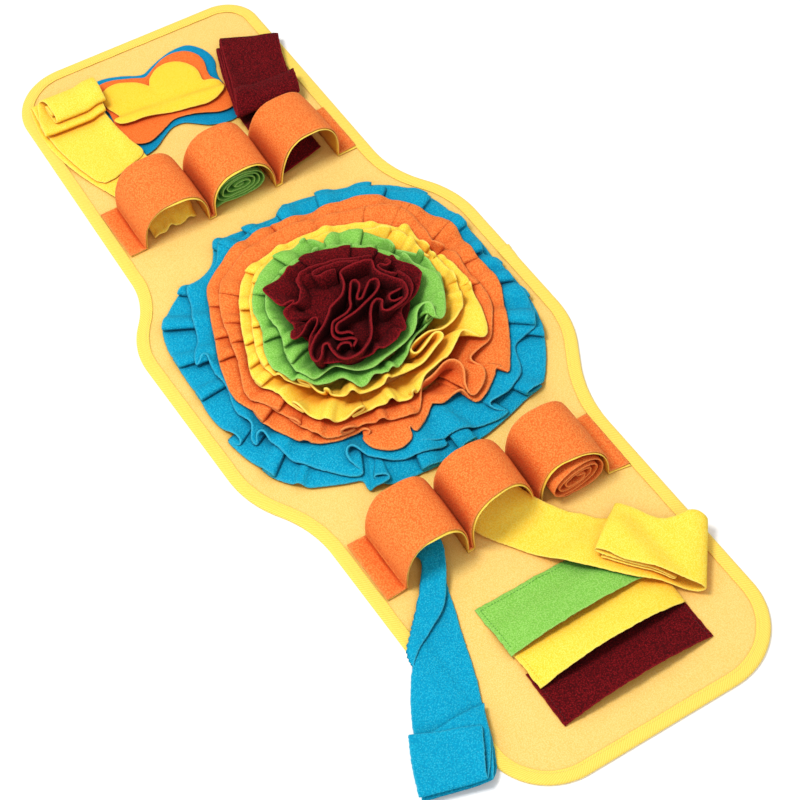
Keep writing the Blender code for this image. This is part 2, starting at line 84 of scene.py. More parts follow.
floor_material, _, floor_shader = new_material("pale_floor")
set_sockets(floor_shader, {"Base Color": dye(246, 246, 246), "Roughness": 0.9})
FLOOR_HALF = 4.0  # metres
floor_mesh = bpy.data.meshes.new("floor")
floor_mesh.from_pydata([(-FLOOR_HALF, -FLOOR_HALF, 0), (FLOOR_HALF, -FLOOR_HALF, 0),
                        (FLOOR_HALF, FLOOR_HALF, 0), (-FLOOR_HALF, FLOOR_HALF, 0)], [], [(0, 1, 2, 3)])
floor_mesh.materials.append(floor_material)
floor = bpy.data.objects.new("floor", floor_mesh)
bpy.context.scene.collection.objects.link(floor)

LIGHTS = [
    # name, place in metres, size in metres, watts
    ("light_overhead", (-0.8, 0.2, 2.3), 0.7, 44),
    ("light_front", (-0.7, -2.0, 1.8), 1.4, 16),
]
for name, place, size, watts in LIGHTS:
    lamp = bpy.data.lights.new(name, "AREA")
    lamp.size = size
    lamp.energy = watts
    light = bpy.data.objects.new(name, lamp)
    light.location = place
    light.rotation_mode = "QUATERNION"
    light.rotation_quaternion = (-Vector(place)).to_track_quat("-Z", "Y")
    bpy.context.scene.collection.objects.link(light)

STUDIO_GLOW = 0.55
world = bpy.data.worlds.new("studio")
world.use_nodes = True
set_sockets(world.node_tree.nodes["Background"], {"Color": (1.0, 1.0, 1.0, 1.0), "Strength": STUDIO_GLOW})
bpy.context.scene.world = world
bpy.context.scene.view_settings.view_transform = "Standard"


# Felt panel: one flat piece of pale yellow needled felt, 3 mm thick, cut with round corners and
# a wide middle. It lies a little uneven, and its rim is pressed thin where the tape holds it.

PANEL_THICK = 3.0
BINDING_THICK = 1.0
BINDING_LAP = 12.5
SEAT = 3.3  # height of whatever lies on the felt
OUTLINE = [
    # x, y, corner_radius
    (146, -506, 74),
    (142, -178, 150),
    (185, -97, 114),
    (184, 109, 112),
    (143, 171, 116),
    (143, 489, 40),
    (-138, 506, 62),
    (-148, 162, 84),
    (-186, 114, 84),
    (-183, -105, 116),
    (-146, -165, 120),
    (-141, -506, 63),
]


def mat_edge(inset, pitch):
    """Points round the mat's edge, about a pitch apart, moved in by inset."""
    corners = [Vector((x, y)) for x, y, _ in OUTLINE]
    count = len(corners)
    moved = []
    for i in range(count):
        before = (corners[i] - corners[i - 1]).normalized()
        after = (corners[(i + 1) % count] - corners[i]).normalized()
        inward = Vector((-before.y, before.x)) + Vector((-after.y, after.x))
        moved.append(corners[i] + inward * (inset / (1 + before.dot(after))))
    points = []
    for i, (_, _, radius) in enumerate(OUTLINE):
        before = (moved[i] - moved[i - 1]).normalized()
        after = (moved[(i + 1) % count] - moved[i]).normalized()
        bend = math.atan2(before.x * after.y - before.y * after.x, before.dot(after))
        side = 1 if bend > 0 else -1
        arc_radius = radius - side * inset
        start = moved[i] - before * (arc_radius * math.tan(abs(bend) / 2))
        centre = start + Vector((-before.y, before.x)) * (side * arc_radius)
        steps = max(2, round(arc_radius * abs(bend) / pitch))
        if points:
            gap = (start - points[-1]).length
            straight = max(1, round(gap / pitch))
            points += [points[-1].lerp(start, k / straight) for k in range(1, straight)]
        for step in range(steps + 1):
            angle = bend * step / steps
            arm = start - centre
            points.append(centre + Vector((
                arm.x * math.cos(angle) - arm.y * math.sin(angle),
                arm.x * math.sin(angle) + arm.y * math.cos(angle),
            )))
    straight = max(1, round((points[0] - points[-1]).length / pitch))
    points += [points[-1].lerp(points[0], k / straight) for k in range(1, straight)]
    return points


def cut_cloth(outline, pitch):
    """Points and triangles of a flat cut, from its outline and an even grid inside it."""
    row_step = 0.87 * pitch  # keeps the triangles even-sided
    clear_of_edge = 0.55 * pitch
    edge = [Vector((p[0], p[1])) for p in outline]
    ring = np.array([(p.x, p.y) for p in edge])
    low_x, low_y = ring.min(axis=0)
    high_x, high_y = ring.max(axis=0)
    x0, y0 = ring.T
    x1, y1 = np.roll(ring, -1, axis=0).T
    inner = []
    rows = int((high_y - low_y) / row_step)
    for i in range(rows + 1):
        y = low_y + (high_y - low_y) * (i + 0.5) / (rows + 1)
        crosses = (y0 > y) != (y1 > y)
        with np.errstate(divide="ignore", invalid="ignore"):
            crossing_x = x0 + (y - y0) * (x1 - x0) / (y1 - y0)
        for x in np.arange(low_x + pitch * (0.3 + 0.5 * (i % 2)), high_x, pitch):
            inside = np.count_nonzero(crosses & (x < crossing_x)) % 2 == 1
            if inside and np.hypot(x0 - x, y0 - y).min() > clear_of_edge:
                inner.append(Vector((x, y)))
    count = len(edge)
    border = [(i, (i + 1) % count) for i in range(count)]
    inside_only, merge_within = 1, 0.001
    points, _, faces, *_ = geometry.delaunay_2d_cdt(edge + inner, border, [], inside_only, merge_within)
    return np.array([(p.x, p.y) for p in points]), [tuple(f) for f in faces]


def add_piece(name, points, faces, material, mask=None):
    """A mesh object from points in millimetres, with an optional cut_edge mask on its points."""
    mesh = bpy.data.meshes.new(name)
    mesh.from_pydata((np.asarray(points, float) * MM).tolist(), [], [tuple(int(k) for k in f) for f in faces])
    if mask is not None:
        attribute = mesh.attributes.new("cut_edge", "FLOAT", "POINT")
        attribute.data.foreach_set("value", np.asarray(mask, np.float32))
    mesh.shade_smooth()
    mesh.materials.append(material)
    piece = bpy.data.objects.new(name, mesh)
    bpy.context.scene.collection.objects.link(piece)
    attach(piece, "root")
    return piece


def uneven(x, y, z=0.0, per_mm=1.0):
    """Smooth unevenness between about -1 and 1 at a place, the same each run."""
    return noise.noise(Vector((x, y, z)) * per_mm)


noise.seed_set(3)  # unless it is set, noise_vector takes its seed from the time
RAG_PER_MM = 0.45
RIM_TUCK = 0.12  # share of its thickness by which each face of a cloth turns in at a cut edge
RIM_ROUND = 0.4  # and by which the middle of the edge stands out
RIM_MASK = 0.55  # cut_edge on the turned-in points; it is 1 on the middle of the edge


def rag(points, size):
    """Small uneven shifts, the same each run, for cut edges."""
    return np.array([noise.noise_vector(Vector(p) * RAG_PER_MM) for p in points]) * size


def thicken(points, faces, thick, ragged=0.35):
    """Both faces of a cloth and its rounded cut edge, from its middle surface."""
    points = np.asarray(points, float)
    triangles = np.array([(f[0], f[k], f[k + 1]) for f in faces for k in range(1, len(f) - 1)])
    a, b, c = (points[triangles[:, k]] for k in range(3))
    across = np.cross(b - a, c - a)
    normals = np.zeros_like(points)
    for k in range(3):
        np.add.at(normals, triangles[:, k], across)
    normals /= np.maximum(np.linalg.norm(normals, axis=1, keepdims=True), 1e-9)
    halves = {(f[k], f[(k + 1) % len(f)]) for f in faces for k in range(len(f))}
    border = [(p, q) for p, q in halves if (q, p) not in halves]
    border.sort()
    outward = np.zeros_like(points)
    for p, q in border:
        out = np.cross(points[q] - points[p], normals[p])
        outward[p] += out
        outward[q] += out
    length = np.linalg.norm(outward, axis=1, keepdims=True)
    outward = np.divide(outward, length, out=np.zeros_like(outward), where=length > 1e-9)
    rim = sorted({p for p, _ in border})
    shift = rag(points[rim], ragged)
    points[rim] += shift - np.sum(shift * normals[rim], axis=1, keepdims=True) * normals[rim]
    count = len(points)
    rim_at = {p: 2 * count + i for i, p in enumerate(rim)}
    tuck = np.zeros((count, 1))
    tuck[rim] = RIM_TUCK * thick
    top = points + normals * (thick / 2 - tuck)
    bottom = points - normals * (thick / 2 - tuck)
    everything = np.vstack([top, bottom, points[rim] + outward[rim] * RIM_ROUND * thick])
    solid = [tuple(f) for f in faces] + [tuple(count + k for k in reversed(f)) for f in faces]
    for p, q in border:
        solid.append((q, p, rim_at[p], rim_at[q]))
        solid.append((rim_at[q], rim_at[p], count + p, count + q))
    mask = np.zeros(len(everything))
    mask[rim] = RIM_MASK
    mask[[count + p for p in rim]] = RIM_MASK
    mask[2 * count:] = 1.0
    return everything, solid, mask


def new_group(name, inputs, outputs):
    """An empty node group with named sockets: (name, socket type, default)."""
    group = bpy.data.node_groups.new(name, "ShaderNodeTree")
    for label, kind, default in inputs:
        socket = group.interface.new_socket(label, in_out="INPUT", socket_type=kind)
        if default is not None:
            socket.default_value = default
    for label, kind in outputs:
        group.interface.new_socket(label, in_out="OUTPUT", socket_type=kind)
    return group, group.nodes.new("NodeGroupInput"), group.nodes.new("NodeGroupOutput")


def link(tree, *wires):
    """Wires between nodes, each as (node, output, node, input)."""
    for source, output, target, socket in wires:
        tree.links.new(source.outputs[output], target.inputs[socket])


def add_node(tree, kind, **settings):
    """A node with its named properties set, and its sockets set by name in 'values'."""
    node = tree.nodes.new(kind)
    values = settings.pop("values", {})
    for label, value in settings.items():
        setattr(node, label, value)
    set_sockets(node, values)
    return node


PILL_PART = 0.55  # the pills' part in the height of the pile
FIBRE_PART = 0.6
FIBRES_PER_PILL = 1.9


def build_pile_group():
    """Brushed pile: small pills over a fine fibre grain, with painted light on their tips, painted shade between
    them, and random deeper patches.
    """
    group, given, result = new_group(
        "brushed_pile",
        [
            ("Colour", "NodeSocketColor", None),
            ("Shade And Mottle Colour", "NodeSocketColor", None),
            ("Highlight Colour", "NodeSocketColor", None),
            ("Pill Size", "NodeSocketFloat", 1.6),
            ("Cut Edge", "NodeSocketFloat", 0.0),
        ],
        [("Colour", "NodeSocketColor"), ("Height", "NodeSocketFloat")],
    )
    place = add_node(group, "ShaderNodeTexCoord")
    per_metre = add_node(group, "ShaderNodeMath", operation="DIVIDE", values={0: 1000.0})
    pills = add_node(group, "ShaderNodeTexVoronoi", feature="SMOOTH_F1",
                     values={"Smoothness": 0.35, "Randomness": 1.0})
    fine_scale = add_node(group, "ShaderNodeMath", operation="MULTIPLY", values={1: FIBRES_PER_PILL})
    fibres = add_node(group, "ShaderNodeTexNoise", values={"Detail": 3.0, "Roughness": 0.65, "Distortion": 0.4})
    patches = add_node(group, "ShaderNodeTexNoise", values={"Scale": 55.0, "Detail": 2.0, "Roughness": 0.5})
    pill_height = add_node(group, "ShaderNodeMapRange",
                           values={"From Min": 0.05, "From Max": 0.75, "To Min": 1.0, "To Max": 0.0})
    blend_height = add_node(group, "ShaderNodeMath", operation="MULTIPLY_ADD", values={1: PILL_PART})
    fibre_part = add_node(group, "ShaderNodeMath", operation="MULTIPLY", values={1: FIBRE_PART})
    # painted shade: the pits between the pills take the deep colour; painted light: the pills' tips take the paler
    # highlight colour
    pit_shade_mask = add_node(group, "ShaderNodeMapRange", values={"From Min": 0.66, "From Max": 0.3, "To Max": 0.85})
    tip_highlight_mask = add_node(group, "ShaderNodeMapRange", values={"From Min": 0.6, "From Max": 0.95, "To Max": 0.8})
    patch_mask = add_node(group, "ShaderNodeMapRange", values={"From Min": 0.35, "From Max": 0.7, "To Max": 0.12})
    pit_shaded = add_node(group, "ShaderNodeMixRGB", blend_type="MIX")
    mottled = add_node(group, "ShaderNodeMixRGB", blend_type="MIX")
    tip_highlighted = add_node(group, "ShaderNodeMixRGB", blend_type="MIX")
    # cut edges are paler, partly from the fuzz of the cut and partly as a painted sheen highlight
    edge_highlight_mask = add_node(group, "ShaderNodeMapRange", values={"From Min": 0.35, "From Max": 1.0, "To Max": 0.6})
    edge_highlighted = add_node(group, "ShaderNodeMixRGB", blend_type="MIX")
    link(
        group,
        (given, "Pill Size", per_metre, 1),
        (per_metre, 0, pills, "Scale"),
        (per_metre, 0, fine_scale, 0),
        (fine_scale, 0, fibres, "Scale"),
        (place, "Object", pills, "Vector"),
        (place, "Object", fibres, "Vector"),
        (place, "Object", patches, "Vector"),
        (pills, "Distance", pill_height, "Value"),
        (pill_height, 0, blend_height, 0),
        (fibres, "Fac", fibre_part, 0),
        (fibre_part, 0, blend_height, 2),
        (blend_height, 0, pit_shade_mask, "Value"),
        (blend_height, 0, tip_highlight_mask, "Value"),
        (patches, "Fac", patch_mask, "Value"),
        (pit_shade_mask, 0, pit_shaded, "Fac"),
        (given, "Colour", pit_shaded, "Color1"),
        (given, "Shade And Mottle Colour", pit_shaded, "Color2"),
        (patch_mask, 0, mottled, "Fac"),
        (pit_shaded, 0, mottled, "Color1"),
        (given, "Shade And Mottle Colour", mottled, "Color2"),
        (tip_highlight_mask, 0, tip_highlighted, "Fac"),
        (mottled, 0, tip_highlighted, "Color1"),
        (given, "Highlight Colour", tip_highlighted, "Color2"),
        (given, "Cut Edge", edge_highlight_mask, "Value"),
        (edge_highlight_mask, 0, edge_highlighted, "Fac"),
        (tip_highlighted, 0, edge_highlighted, "Color1"),
        (given, "Highlight Colour", edge_highlighted, "Color2"),
        (edge_highlighted, 0, result, "Colour"),
        (blend_height, 0, result, "Height"),
    )
    return group


brushed_pile = build_pile_group()


# painted shade: cut edges keep more of their own colour under the painted crease shade
EDGE_SPARED = 0.7  # how much less a crease darkens a cut edge


def pile_material(name, colour, deep, tip, pill_size, relief, sheen,
                  painted_shade_tint=(0.55, 0.30, 0.30), painted_shade_reach=20):
    """A brushed cloth: its pile colours, the size and height of its pills, its soft sheen, and the painted shade in
    its creases: how much of each channel of the deep colour that shade keeps, and how wide a hollow still gets it."""
    material, tree, shader = new_material(name)
    painted_shade_colour = (*(d * t for d, t in zip(deep, painted_shade_tint)), 1.0)
    pile = add_node(tree, "ShaderNodeGroup", node_tree=brushed_pile, values={
        "Colour": colour, "Shade And Mottle Colour": deep, "Highlight Colour": tip, "Pill Size": pill_size})
    cut_edge = add_node(tree, "ShaderNodeAttribute", attribute_name="cut_edge")
    bump = add_node(tree, "ShaderNodeBump", values={"Strength": 1.0, "Distance": relief * MM})
    # painted shade: ambient occlusion darkens the pile colour towards a tint of the deep colour in creases and
    # hollows, less on cut edges
    painted_shade_occlusion = add_node(tree, "ShaderNodeAmbientOcclusion", samples=4, values={"Distance": painted_shade_reach * MM})
    crease = add_node(tree, "ShaderNodeMapRange", values={"From Min": 0.9, "From Max": 0.22, "To Max": 0.9})
    edge_shade_share = add_node(tree, "ShaderNodeMath", operation="MULTIPLY_ADD", values={1: -EDGE_SPARED, 2: 1.0})
    painted_shade_amount = add_node(tree, "ShaderNodeMath", operation="MULTIPLY")
    painted_shade_mixed = add_node(tree, "ShaderNodeMixRGB", blend_type="MIX", values={"Color2": painted_shade_colour})
    link(
        tree,
        (cut_edge, "Fac", pile, "Cut Edge"),
        (painted_shade_occlusion, "AO", crease, "Value"),
        (cut_edge, "Fac", edge_shade_share, 0),
        (crease, 0, painted_shade_amount, 0),
        (edge_shade_share, 0, painted_shade_amount, 1),
        (painted_shade_amount, 0, painted_shade_mixed, "Fac"),
        (pile, "Colour", painted_shade_mixed, "Color1"),
        (painted_shade_mixed, 0, shader, "Base Color"),
        (pile, "Height", bump, "Height"),
        (bump, "Normal", shader, "Normal"),
    )
    set_sockets(shader, {"Roughness": 0.95, "Specular IOR Level": 0.15, "Sheen Weight": sheen,
                         "Sheen Roughness": 0.4, "Sheen Tint": tip})
    return material


felt = pile_material(
    "needled_felt", dye(246, 210, 124), dye(236, 190, 94), dye(255, 226, 154),
    pill_size=1.1, relief=0.35, sheen=0.05, painted_shade_tint=(0.75, 0.55, 0.35))

FELT_PITCH = 9.0
FELT_CLEAR = 0.6  # between the felt's rim and the tape's fold
FELT_HELD = 14.0  # how far in from the tape the felt is held flat
FELT_UNEVEN = 0.5
FELT_CREST = 0.35  # share of the unevenness that may rise under what lies on the felt
FELT_SETTLE = 0.1
FLOOR_GAP = 0.05
panel_points, panel_faces = cut_cloth(mat_edge(BINDING_THICK + FELT_CLEAR, FELT_PITCH), FELT_PITCH)
edge_x, edge_y = np.array([(p.x, p.y) for p in mat_edge(0.0, 4.0)]).T
panel_heights = []
for x, y in panel_points:
    from_edge = np.hypot(edge_x - x, edge_y - y).min()
    free = min(max((from_edge - BINDING_LAP) / FELT_HELD, 0.0), 1.0)
    wave = uneven(x, y, 0.0, 0.014) + 0.4 * uneven(x, y, 9.0, 0.05)
    panel_heights.append(PANEL_THICK / 2 + FELT_UNEVEN * free * min(wave, FELT_CREST) - FELT_SETTLE)
panel_middle = np.column_stack([panel_points, panel_heights])
panel_solid, panel_solid_faces, _ = thicken(panel_middle, panel_faces, PANEL_THICK, ragged=0.0)
panel_solid[:, 2] = np.maximum(panel_solid[:, 2], FLOOR_GAP)
panel = add_piece("felt_base", panel_solid, panel_solid_faces, felt)
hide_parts("felt_panel")


# Tunnels: two rows of three arches. Each row is one strip of orange fleece backed with thin
# yellow fleece, stood up in arches and sewn down flat between them and at both ends.

FLEECE_THICK = 1.7
LINING_THICK = 1.2
TUNNEL_ROWS = {
    "far": {
        "left": -131, "right": 130, "near_y": (220, 220, 220, 220), "far_y": 286,
        "arches": [
            # near_left, near_right, near_height, near_lean, far_left, far_right, far_height, far_lean
            (-112, -43, 43, 2, -110, -42, 48, 0),
            (-34, 34, 45, 0, -34, 34, 46, 3),
            (43, 108, 48, 6, 43, 108, 44, 4),
        ],
    },
    "near": {
        "left": -130, "right": 129, "near_y": (-268, -264, -254, -267), "far_y": -199,
        "arches": [
            (-108, -45, 49, 2, -108, -43, 51, 0),
            (-36, 32, 54, -5, -35, 34, 52, -4),
            (42, 107, 44, 0, 42, 108, 50, -2),
        ],
    },
}
VALLEY_X = (-130, -40, 38, 130)
ARCH_SHOULDER = 0.70  # powers that square an arch's shoulders and fill its crown
ARCH_CROWN = 0.80
ARCH_SWELL = 0.02  # shares of its size by which an arch swells inside its mouths,
ARCH_UNEVEN = 0.03  # is uneven along its way in,
ARCH_DENT = 0.018  # and is dented here and there
ARCH_STEPS = 30
TUNNEL_ROWS_ALONG = 15
FOOT_BEND = 3.5  # from an arch's foot to where the cloth lies down,
FOOT_SEAM = 7.0  # and to where it is sewn
END_SEAMS = (6, 5)
SHARPEST_BEND = 0.7  # keeps the cloth's faces apart in a sharp bend
LINING_GAP = 0.15
LINING_SHOWS = 1.8  # how far the lining stands out of the mouths, from the first arch's shoulder on
LINING_FROM_X = (-92, -72)
MOUTH_DROOP = 0.8
PRESS_IN = 0.2  # how deep a seam may press into the felt

orange_fleece = pile_material(
    "orange_fleece", dye(248, 140, 64), dye(230, 100, 38), dye(255, 172, 102),
    pill_size=1.5, relief=0.9, sheen=0.15, painted_shade_tint=(0.62, 0.26, 0.15))
yellow_fleece = pile_material(
    "yellow_fleece", dye(252, 226, 88), dye(248, 202, 46), dye(255, 238, 132),
    pill_size=1.2, relief=0.4, sheen=0.08, painted_shade_tint=(0.80, 0.40, 0.10))
# painted shade: the lining's crease shade reaches much further, so the tunnels' insides are painted darker
lining_fleece = pile_material(
    "lining_fleece", dye(252, 226, 88), dye(248, 202, 46), dye(255, 238, 132),
    pill_size=1.2, relief=0.3, sheen=0.08, painted_shade_tint=(0.66, 0.22, 0.05), painted_shade_reach=90)


def grid_faces(rows, columns, closed=False):
    """Quads of a grid of points kept row by row; a closed grid joins its last column to its first."""
    cells = columns if closed else columns - 1
    faces = []
    for r in range(rows - 1):
        for c in range(cells):
            n = (c + 1) % columns
            faces.append((r * columns + c, r * columns + n, (r + 1) * columns + n, (r + 1) * columns + c))
    return faces


def smoothstep(start, end, value):
    share = min(max((value - start) / (end - start), 0.0), 1.0)
    return share * share * (3 - 2 * share)


def signed_power(value, power):
    return math.copysign(abs(value) ** power, value)


def tunnel_line(row, share, offset):
    """X and Z of a row's cloth, from its left end to its right, at a share of the way in."""
    line = [(row["left"], 0.0), (row["left"] + END_SEAMS[0], 0.0)]
    for number, arch in enumerate(row["arches"]):
        left, right, height, lean = (arch[k] + (arch[k + 4] - arch[k]) * share for k in range(4))
        if number == 0:
            line.append((left - FOOT_SEAM, 0.0))
        line.append((left - FOOT_BEND, 0.0))
        middle = (left + right) / 2
        half = (right - left) / 2
        swell = 1 + ARCH_SWELL * math.sin(math.pi * share) + ARCH_UNEVEN * uneven(number * 5.0, share * 2.2, 1.0)
        for step in range(ARCH_STEPS + 1):
            angle = math.pi * (1 - step / ARCH_STEPS)
            across = signed_power(math.cos(angle), ARCH_SHOULDER)
            rise = max(math.sin(angle), 0.0) ** ARCH_CROWN
            dent = 1 + ARCH_DENT * uneven(angle * 1.4, share * 1.6, number * 3.0)
            line.append((middle + half * across * swell * dent + lean * rise, height * rise * swell * dent))
        line.append((right + FOOT_BEND, 0.0))
        if number == 2:
            line += [(right + FOOT_SEAM, 0.0), (row["right"] - END_SEAMS[1], 0.0)]
    line.append((row["right"], 0.0))
    points = np.array(line)
    before = points - np.roll(points, 1, axis=0)
    after = np.roll(points, -1, axis=0) - points
    before[0] = after[0]
    after[-1] = before[-1]
    before /= np.maximum(np.linalg.norm(before, axis=1, keepdims=True), 1e-6)
    after /= np.maximum(np.linalg.norm(after, axis=1, keepdims=True), 1e-6)
    normal = np.column_stack([-(before + after)[:, 1], (before + after)[:, 0]])
    normal /= np.maximum(1 + np.sum(before * after, axis=1, keepdims=True), SHARPEST_BEND)
    return points + normal * offset


def build_tunnel(name, row, offset, thick, overhang, material):
    """A row's strip or lining, from the offset of its middle surface and its thickness."""
    grid = []
    for k in range(TUNNEL_ROWS_ALONG):
        share = k / (TUNNEL_ROWS_ALONG - 1)
        line = tunnel_line(row, share, offset)
        for x, z in line:
            near_y = np.interp(x, VALLEY_X, row["near_y"]) - overhang * smoothstep(*LINING_FROM_X, x)
            droop = MOUTH_DROOP * uneven(x * 0.03, z * 0.05, 2.0 + offset)
            grid.append((x, near_y + droop + (row["far_y"] - near_y) * share, SEAT + z))
    points, faces, mask = thicken(grid, grid_faces(TUNNEL_ROWS_ALONG, len(line)), thick)
    points[:, 2] = np.maximum(points[:, 2], SEAT - PRESS_IN)
    return add_piece(name, points, faces, material, mask)


for place, row in TUNNEL_ROWS.items():
    lining = build_tunnel(f"lining_{place}", row, LINING_THICK / 2, LINING_THICK, LINING_SHOWS, lining_fleece)
    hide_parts(f"tunnel_lining_{place}")
    outer = LINING_THICK + LINING_GAP + FLEECE_THICK / 2
    strip = build_tunnel(f"tunnels_{place}", row, outer, FLEECE_THICK, 0.0, orange_fleece)
    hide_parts(f"tunnel_strip_{place}")


# Flower: three generic four-petal shapes cut from thin smooth felt and stacked blue, orange and
# yellow. They are sewn through their middle, so the petals' near halves lift off the mat.

PETAL_THICK = 1.7
PETAL_STEP = 2.0
PETAL_PITCH = 4.5
PETAL_EDGE_PITCH = 3.0
PETAL_RISE = 14.0  # below the crease: where the near petals are highest,
PETAL_FALL = 34.0  # and where they have come down to their tips' height
PETAL_PUFF = 0.8  # how much a layer puffs up beyond the crease, for each layer under it,
PETAL_DIP = 0.55  # and how much it dips between the far petals
PETAL_WAVE = 0.27
NOTCH_X = -4.0  # the gap between the left petals and the right ones
NOTCH_WIDTH = 3.0
FLOWER_CREASE = [(-90, 403), (-58, 399), (-12, 393), (51, 379), (90, 371)]
FLOWER = {
    "flower_blue": {
        "level": 0, "lift": 1.0, "tip": 0.8,
        "edge": [
            (-50, 460), (-38, 459), (-22, 452), (-2, 441), (9, 445), (24, 451), (41, 455), (57, 453), (66, 443),
            (71, 430), (71, 415), (65, 401), (62, 388), (63, 372), (64, 352), (60, 336), (51, 328), (36, 328),
            (22, 334), (12, 343), (0, 353), (-12, 354), (-26, 347), (-40, 338), (-54, 335), (-66, 342), (-72, 358),
            (-72, 376), (-68, 390), (-66, 402), (-70, 418), (-72, 436), (-66, 452),
        ],
    },
    "flower_orange": {
        "level": 1, "lift": 3.0, "tip": 2.4,
        "edge": [
            (-47, 452), (-34, 450), (-18, 442), (-2, 434), (10, 440), (24, 447), (38, 449), (51, 444), (59, 432),
            (60, 418), (56, 404), (55, 394), (60, 382), (64, 366), (61, 350), (52, 341), (38, 342), (24, 350),
            (10, 357), (-6, 361), (-18, 356), (-30, 350), (-44, 346), (-56, 352), (-62, 364), (-63, 380),
            (-60, 394), (-58, 408), (-60, 424), (-60, 440), (-56, 449),
        ],
    },
    "flower_yellow": {
        "level": 2, "lift": 7.0, "tip": 4.6,
        "edge": [
            (-49, 438), (-41, 441), (-32, 440), (-23, 435), (-14, 428), (-9, 421), (-6, 417), (-2, 424), (4, 430),
            (14, 436), (26, 437), (36, 432), (43, 423), (47, 411), (46, 400), (45, 391), (52, 388), (59, 382),
            (59, 372), (55, 363), (43, 357), (32, 356), (20, 359), (9, 363), (-5, 368), (-18, 372), (-32, 375),
            (-47, 377), (-58, 381), (-61, 387), (-58, 393), (-52, 395), (-53, 402), (-57, 412), (-57, 424),
            (-54, 432),
        ],
    },
}

PETAL_FELT = {
    "flower_blue": pile_material(
        "blue_petal_felt", dye(0, 146, 190), dye(0, 118, 164), dye(60, 180, 214),
        pill_size=0.9, relief=0.25, sheen=0.1),
    "flower_orange": pile_material(
        "orange_petal_felt", dye(246, 124, 52), dye(228, 94, 30), dye(255, 160, 90),
        pill_size=0.9, relief=0.3, sheen=0.1),
    "flower_yellow": pile_material(
        "yellow_petal_felt", dye(250, 214, 66), dye(246, 194, 34), dye(255, 232, 124),
        pill_size=0.9, relief=0.25, sheen=0.1, painted_shade_tint=(0.80, 0.40, 0.10)),
}


def follow(table, pitch, closed=False):
    """Rows between a table's rows, on a smooth line through them, about a pitch apart."""
    rows = np.array(table, float)
    if closed:
        rows = np.vstack([rows[-1:], rows, rows[:2]])
    else:
        rows = np.vstack([2 * rows[0] - rows[1], rows, 2 * rows[-1] - rows[-2]])
    gaps = np.maximum(np.linalg.norm(np.diff(rows, axis=0), axis=1), 1e-3)
    knots = np.concatenate([[0.0], np.cumsum(gaps ** 0.5)])
    line = []
    for i in range(1, len(rows) - 2):
        p = rows[i - 1:i + 3]
        t = knots[i - 1:i + 3]
        steps = max(1, round(gaps[i] / pitch))
        for k in range(steps):
            at = t[1] + (t[2] - t[1]) * k / steps
            a = [((t[j + 1] - at) * p[j] + (at - t[j]) * p[j + 1]) / (t[j + 1] - t[j]) for j in range(3)]
            b = [((t[j + 2] - at) * a[j] + (at - t[j]) * a[j + 1]) / (t[j + 2] - t[j]) for j in range(2)]
            line.append(((t[2] - at) * b[0] + (at - t[1]) * b[1]) / (t[2] - t[1]))
    if not closed:
        line.append(rows[-2])
    return np.array(line)


def petal_height(x, y, level, lift, tip):
    """Height of a petal layer: low along its crease, then up and a little down to its near edge."""
    below = np.interp(x, *zip(*FLOWER_CREASE)) - y
    rise = lift * smoothstep(0.0, PETAL_RISE, below) - (lift - tip) * smoothstep(PETAL_RISE, PETAL_FALL, below)
    flank = 0.5 + 0.5 * smoothstep(0.0, 30.0, abs(x - NOTCH_X))
    puff = PETAL_PUFF * level * smoothstep(0.0, 12.0, -below) * (1 - 0.6 * smoothstep(25.0, 60.0, -below))
    dip = PETAL_DIP * level * math.exp(-((x - NOTCH_X) / NOTCH_WIDTH) ** 2) * smoothstep(0.0, 10.0, -below)
    wave = PETAL_WAVE * uneven(x * 0.05, y * 0.05, level * 4.0)
    return SEAT + PETAL_THICK / 2 + level * PETAL_STEP + rise * flank + puff - dip + wave


for name, layer in FLOWER.items():
    flat, triangles = cut_cloth(follow(layer["edge"], PETAL_EDGE_PITCH, closed=True), PETAL_PITCH)
    heights = [petal_height(x, y, layer["level"], layer["lift"], layer["tip"]) for x, y in flat]
    points, faces, mask = thicken(np.column_stack([flat, heights]), triangles, PETAL_THICK, ragged=0.25)
    petals = add_piece(f"{name}_petals", points, faces, PETAL_FELT[name], mask)
    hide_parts(name)
    x, y = np.array(layer["edge"], float).T


# Binding: bright yellow woven tape folded over the felt's rim and machine-sewn all round near its
# inner edge, pulled a little at each stitch. It starts and ends in a lap on the right side.

TAPE_THICK = 0.9
TAPE_SECTION = [
    # inset, height of the tape's middle
    (BINDING_LAP, SEAT + 0.30),
    (BINDING_LAP - 1.0, SEAT + 0.42),
    (BINDING_LAP - 2.4, SEAT + 0.18),
    (BINDING_LAP - 3.8, SEAT + 0.50),
    (6.8, SEAT + 0.66),
    (5.2, SEAT + 0.30),
    (3.8, SEAT + 0.66),
    (1.8, SEAT + 0.40),
    (0.7, SEAT - 0.35),
    (0.45, SEAT - 1.3),
    (0.8, 0.95),
    (2.0, 0.55),
    (BINDING_LAP * 0.6, 0.52),
    (BINDING_LAP, 0.52),
]
TAPE_STEPS = 900
TAPE_LEAST_INSET = 0.45
TAPE_PULL = 0.3  # how unevenly the sewing pulls the tape in, full from this inset on
TAPE_PULL_INSET = 3.0
TAPE_RIM = 2.0  # the inset within which the tape lies round the rim
TAPE_SWELL = 0.25
TAPE_FLOOR_GAP = 0.02
LAP_PLACE = (185, 7)
LAP_STEPS = 5
LAP_OUT = 0.35  # how far the lap's end lies outside the tape at the rim,
LAP_IN = 0.4  # and inside it elsewhere
LAP_LOOSE = 1.1
STITCH_INSET = BINDING_LAP - 2.4
STITCH_HEIGHT = 0.62
STITCH_PITCH = 3.3
STITCH_LENGTH = 2.3
STITCH_WIDTH = 0.62
STITCH_ROUND = 0.75  # height for its width
STITCH_SIDES = 6
STITCH_PROFILE = [
    # share_of_length, share_of_width, rise
    (-0.5, 0.0, -0.15), (-0.36, 0.85, 0.25), (0.36, 0.85, 0.25), (0.5, 0.0, -0.15),
]


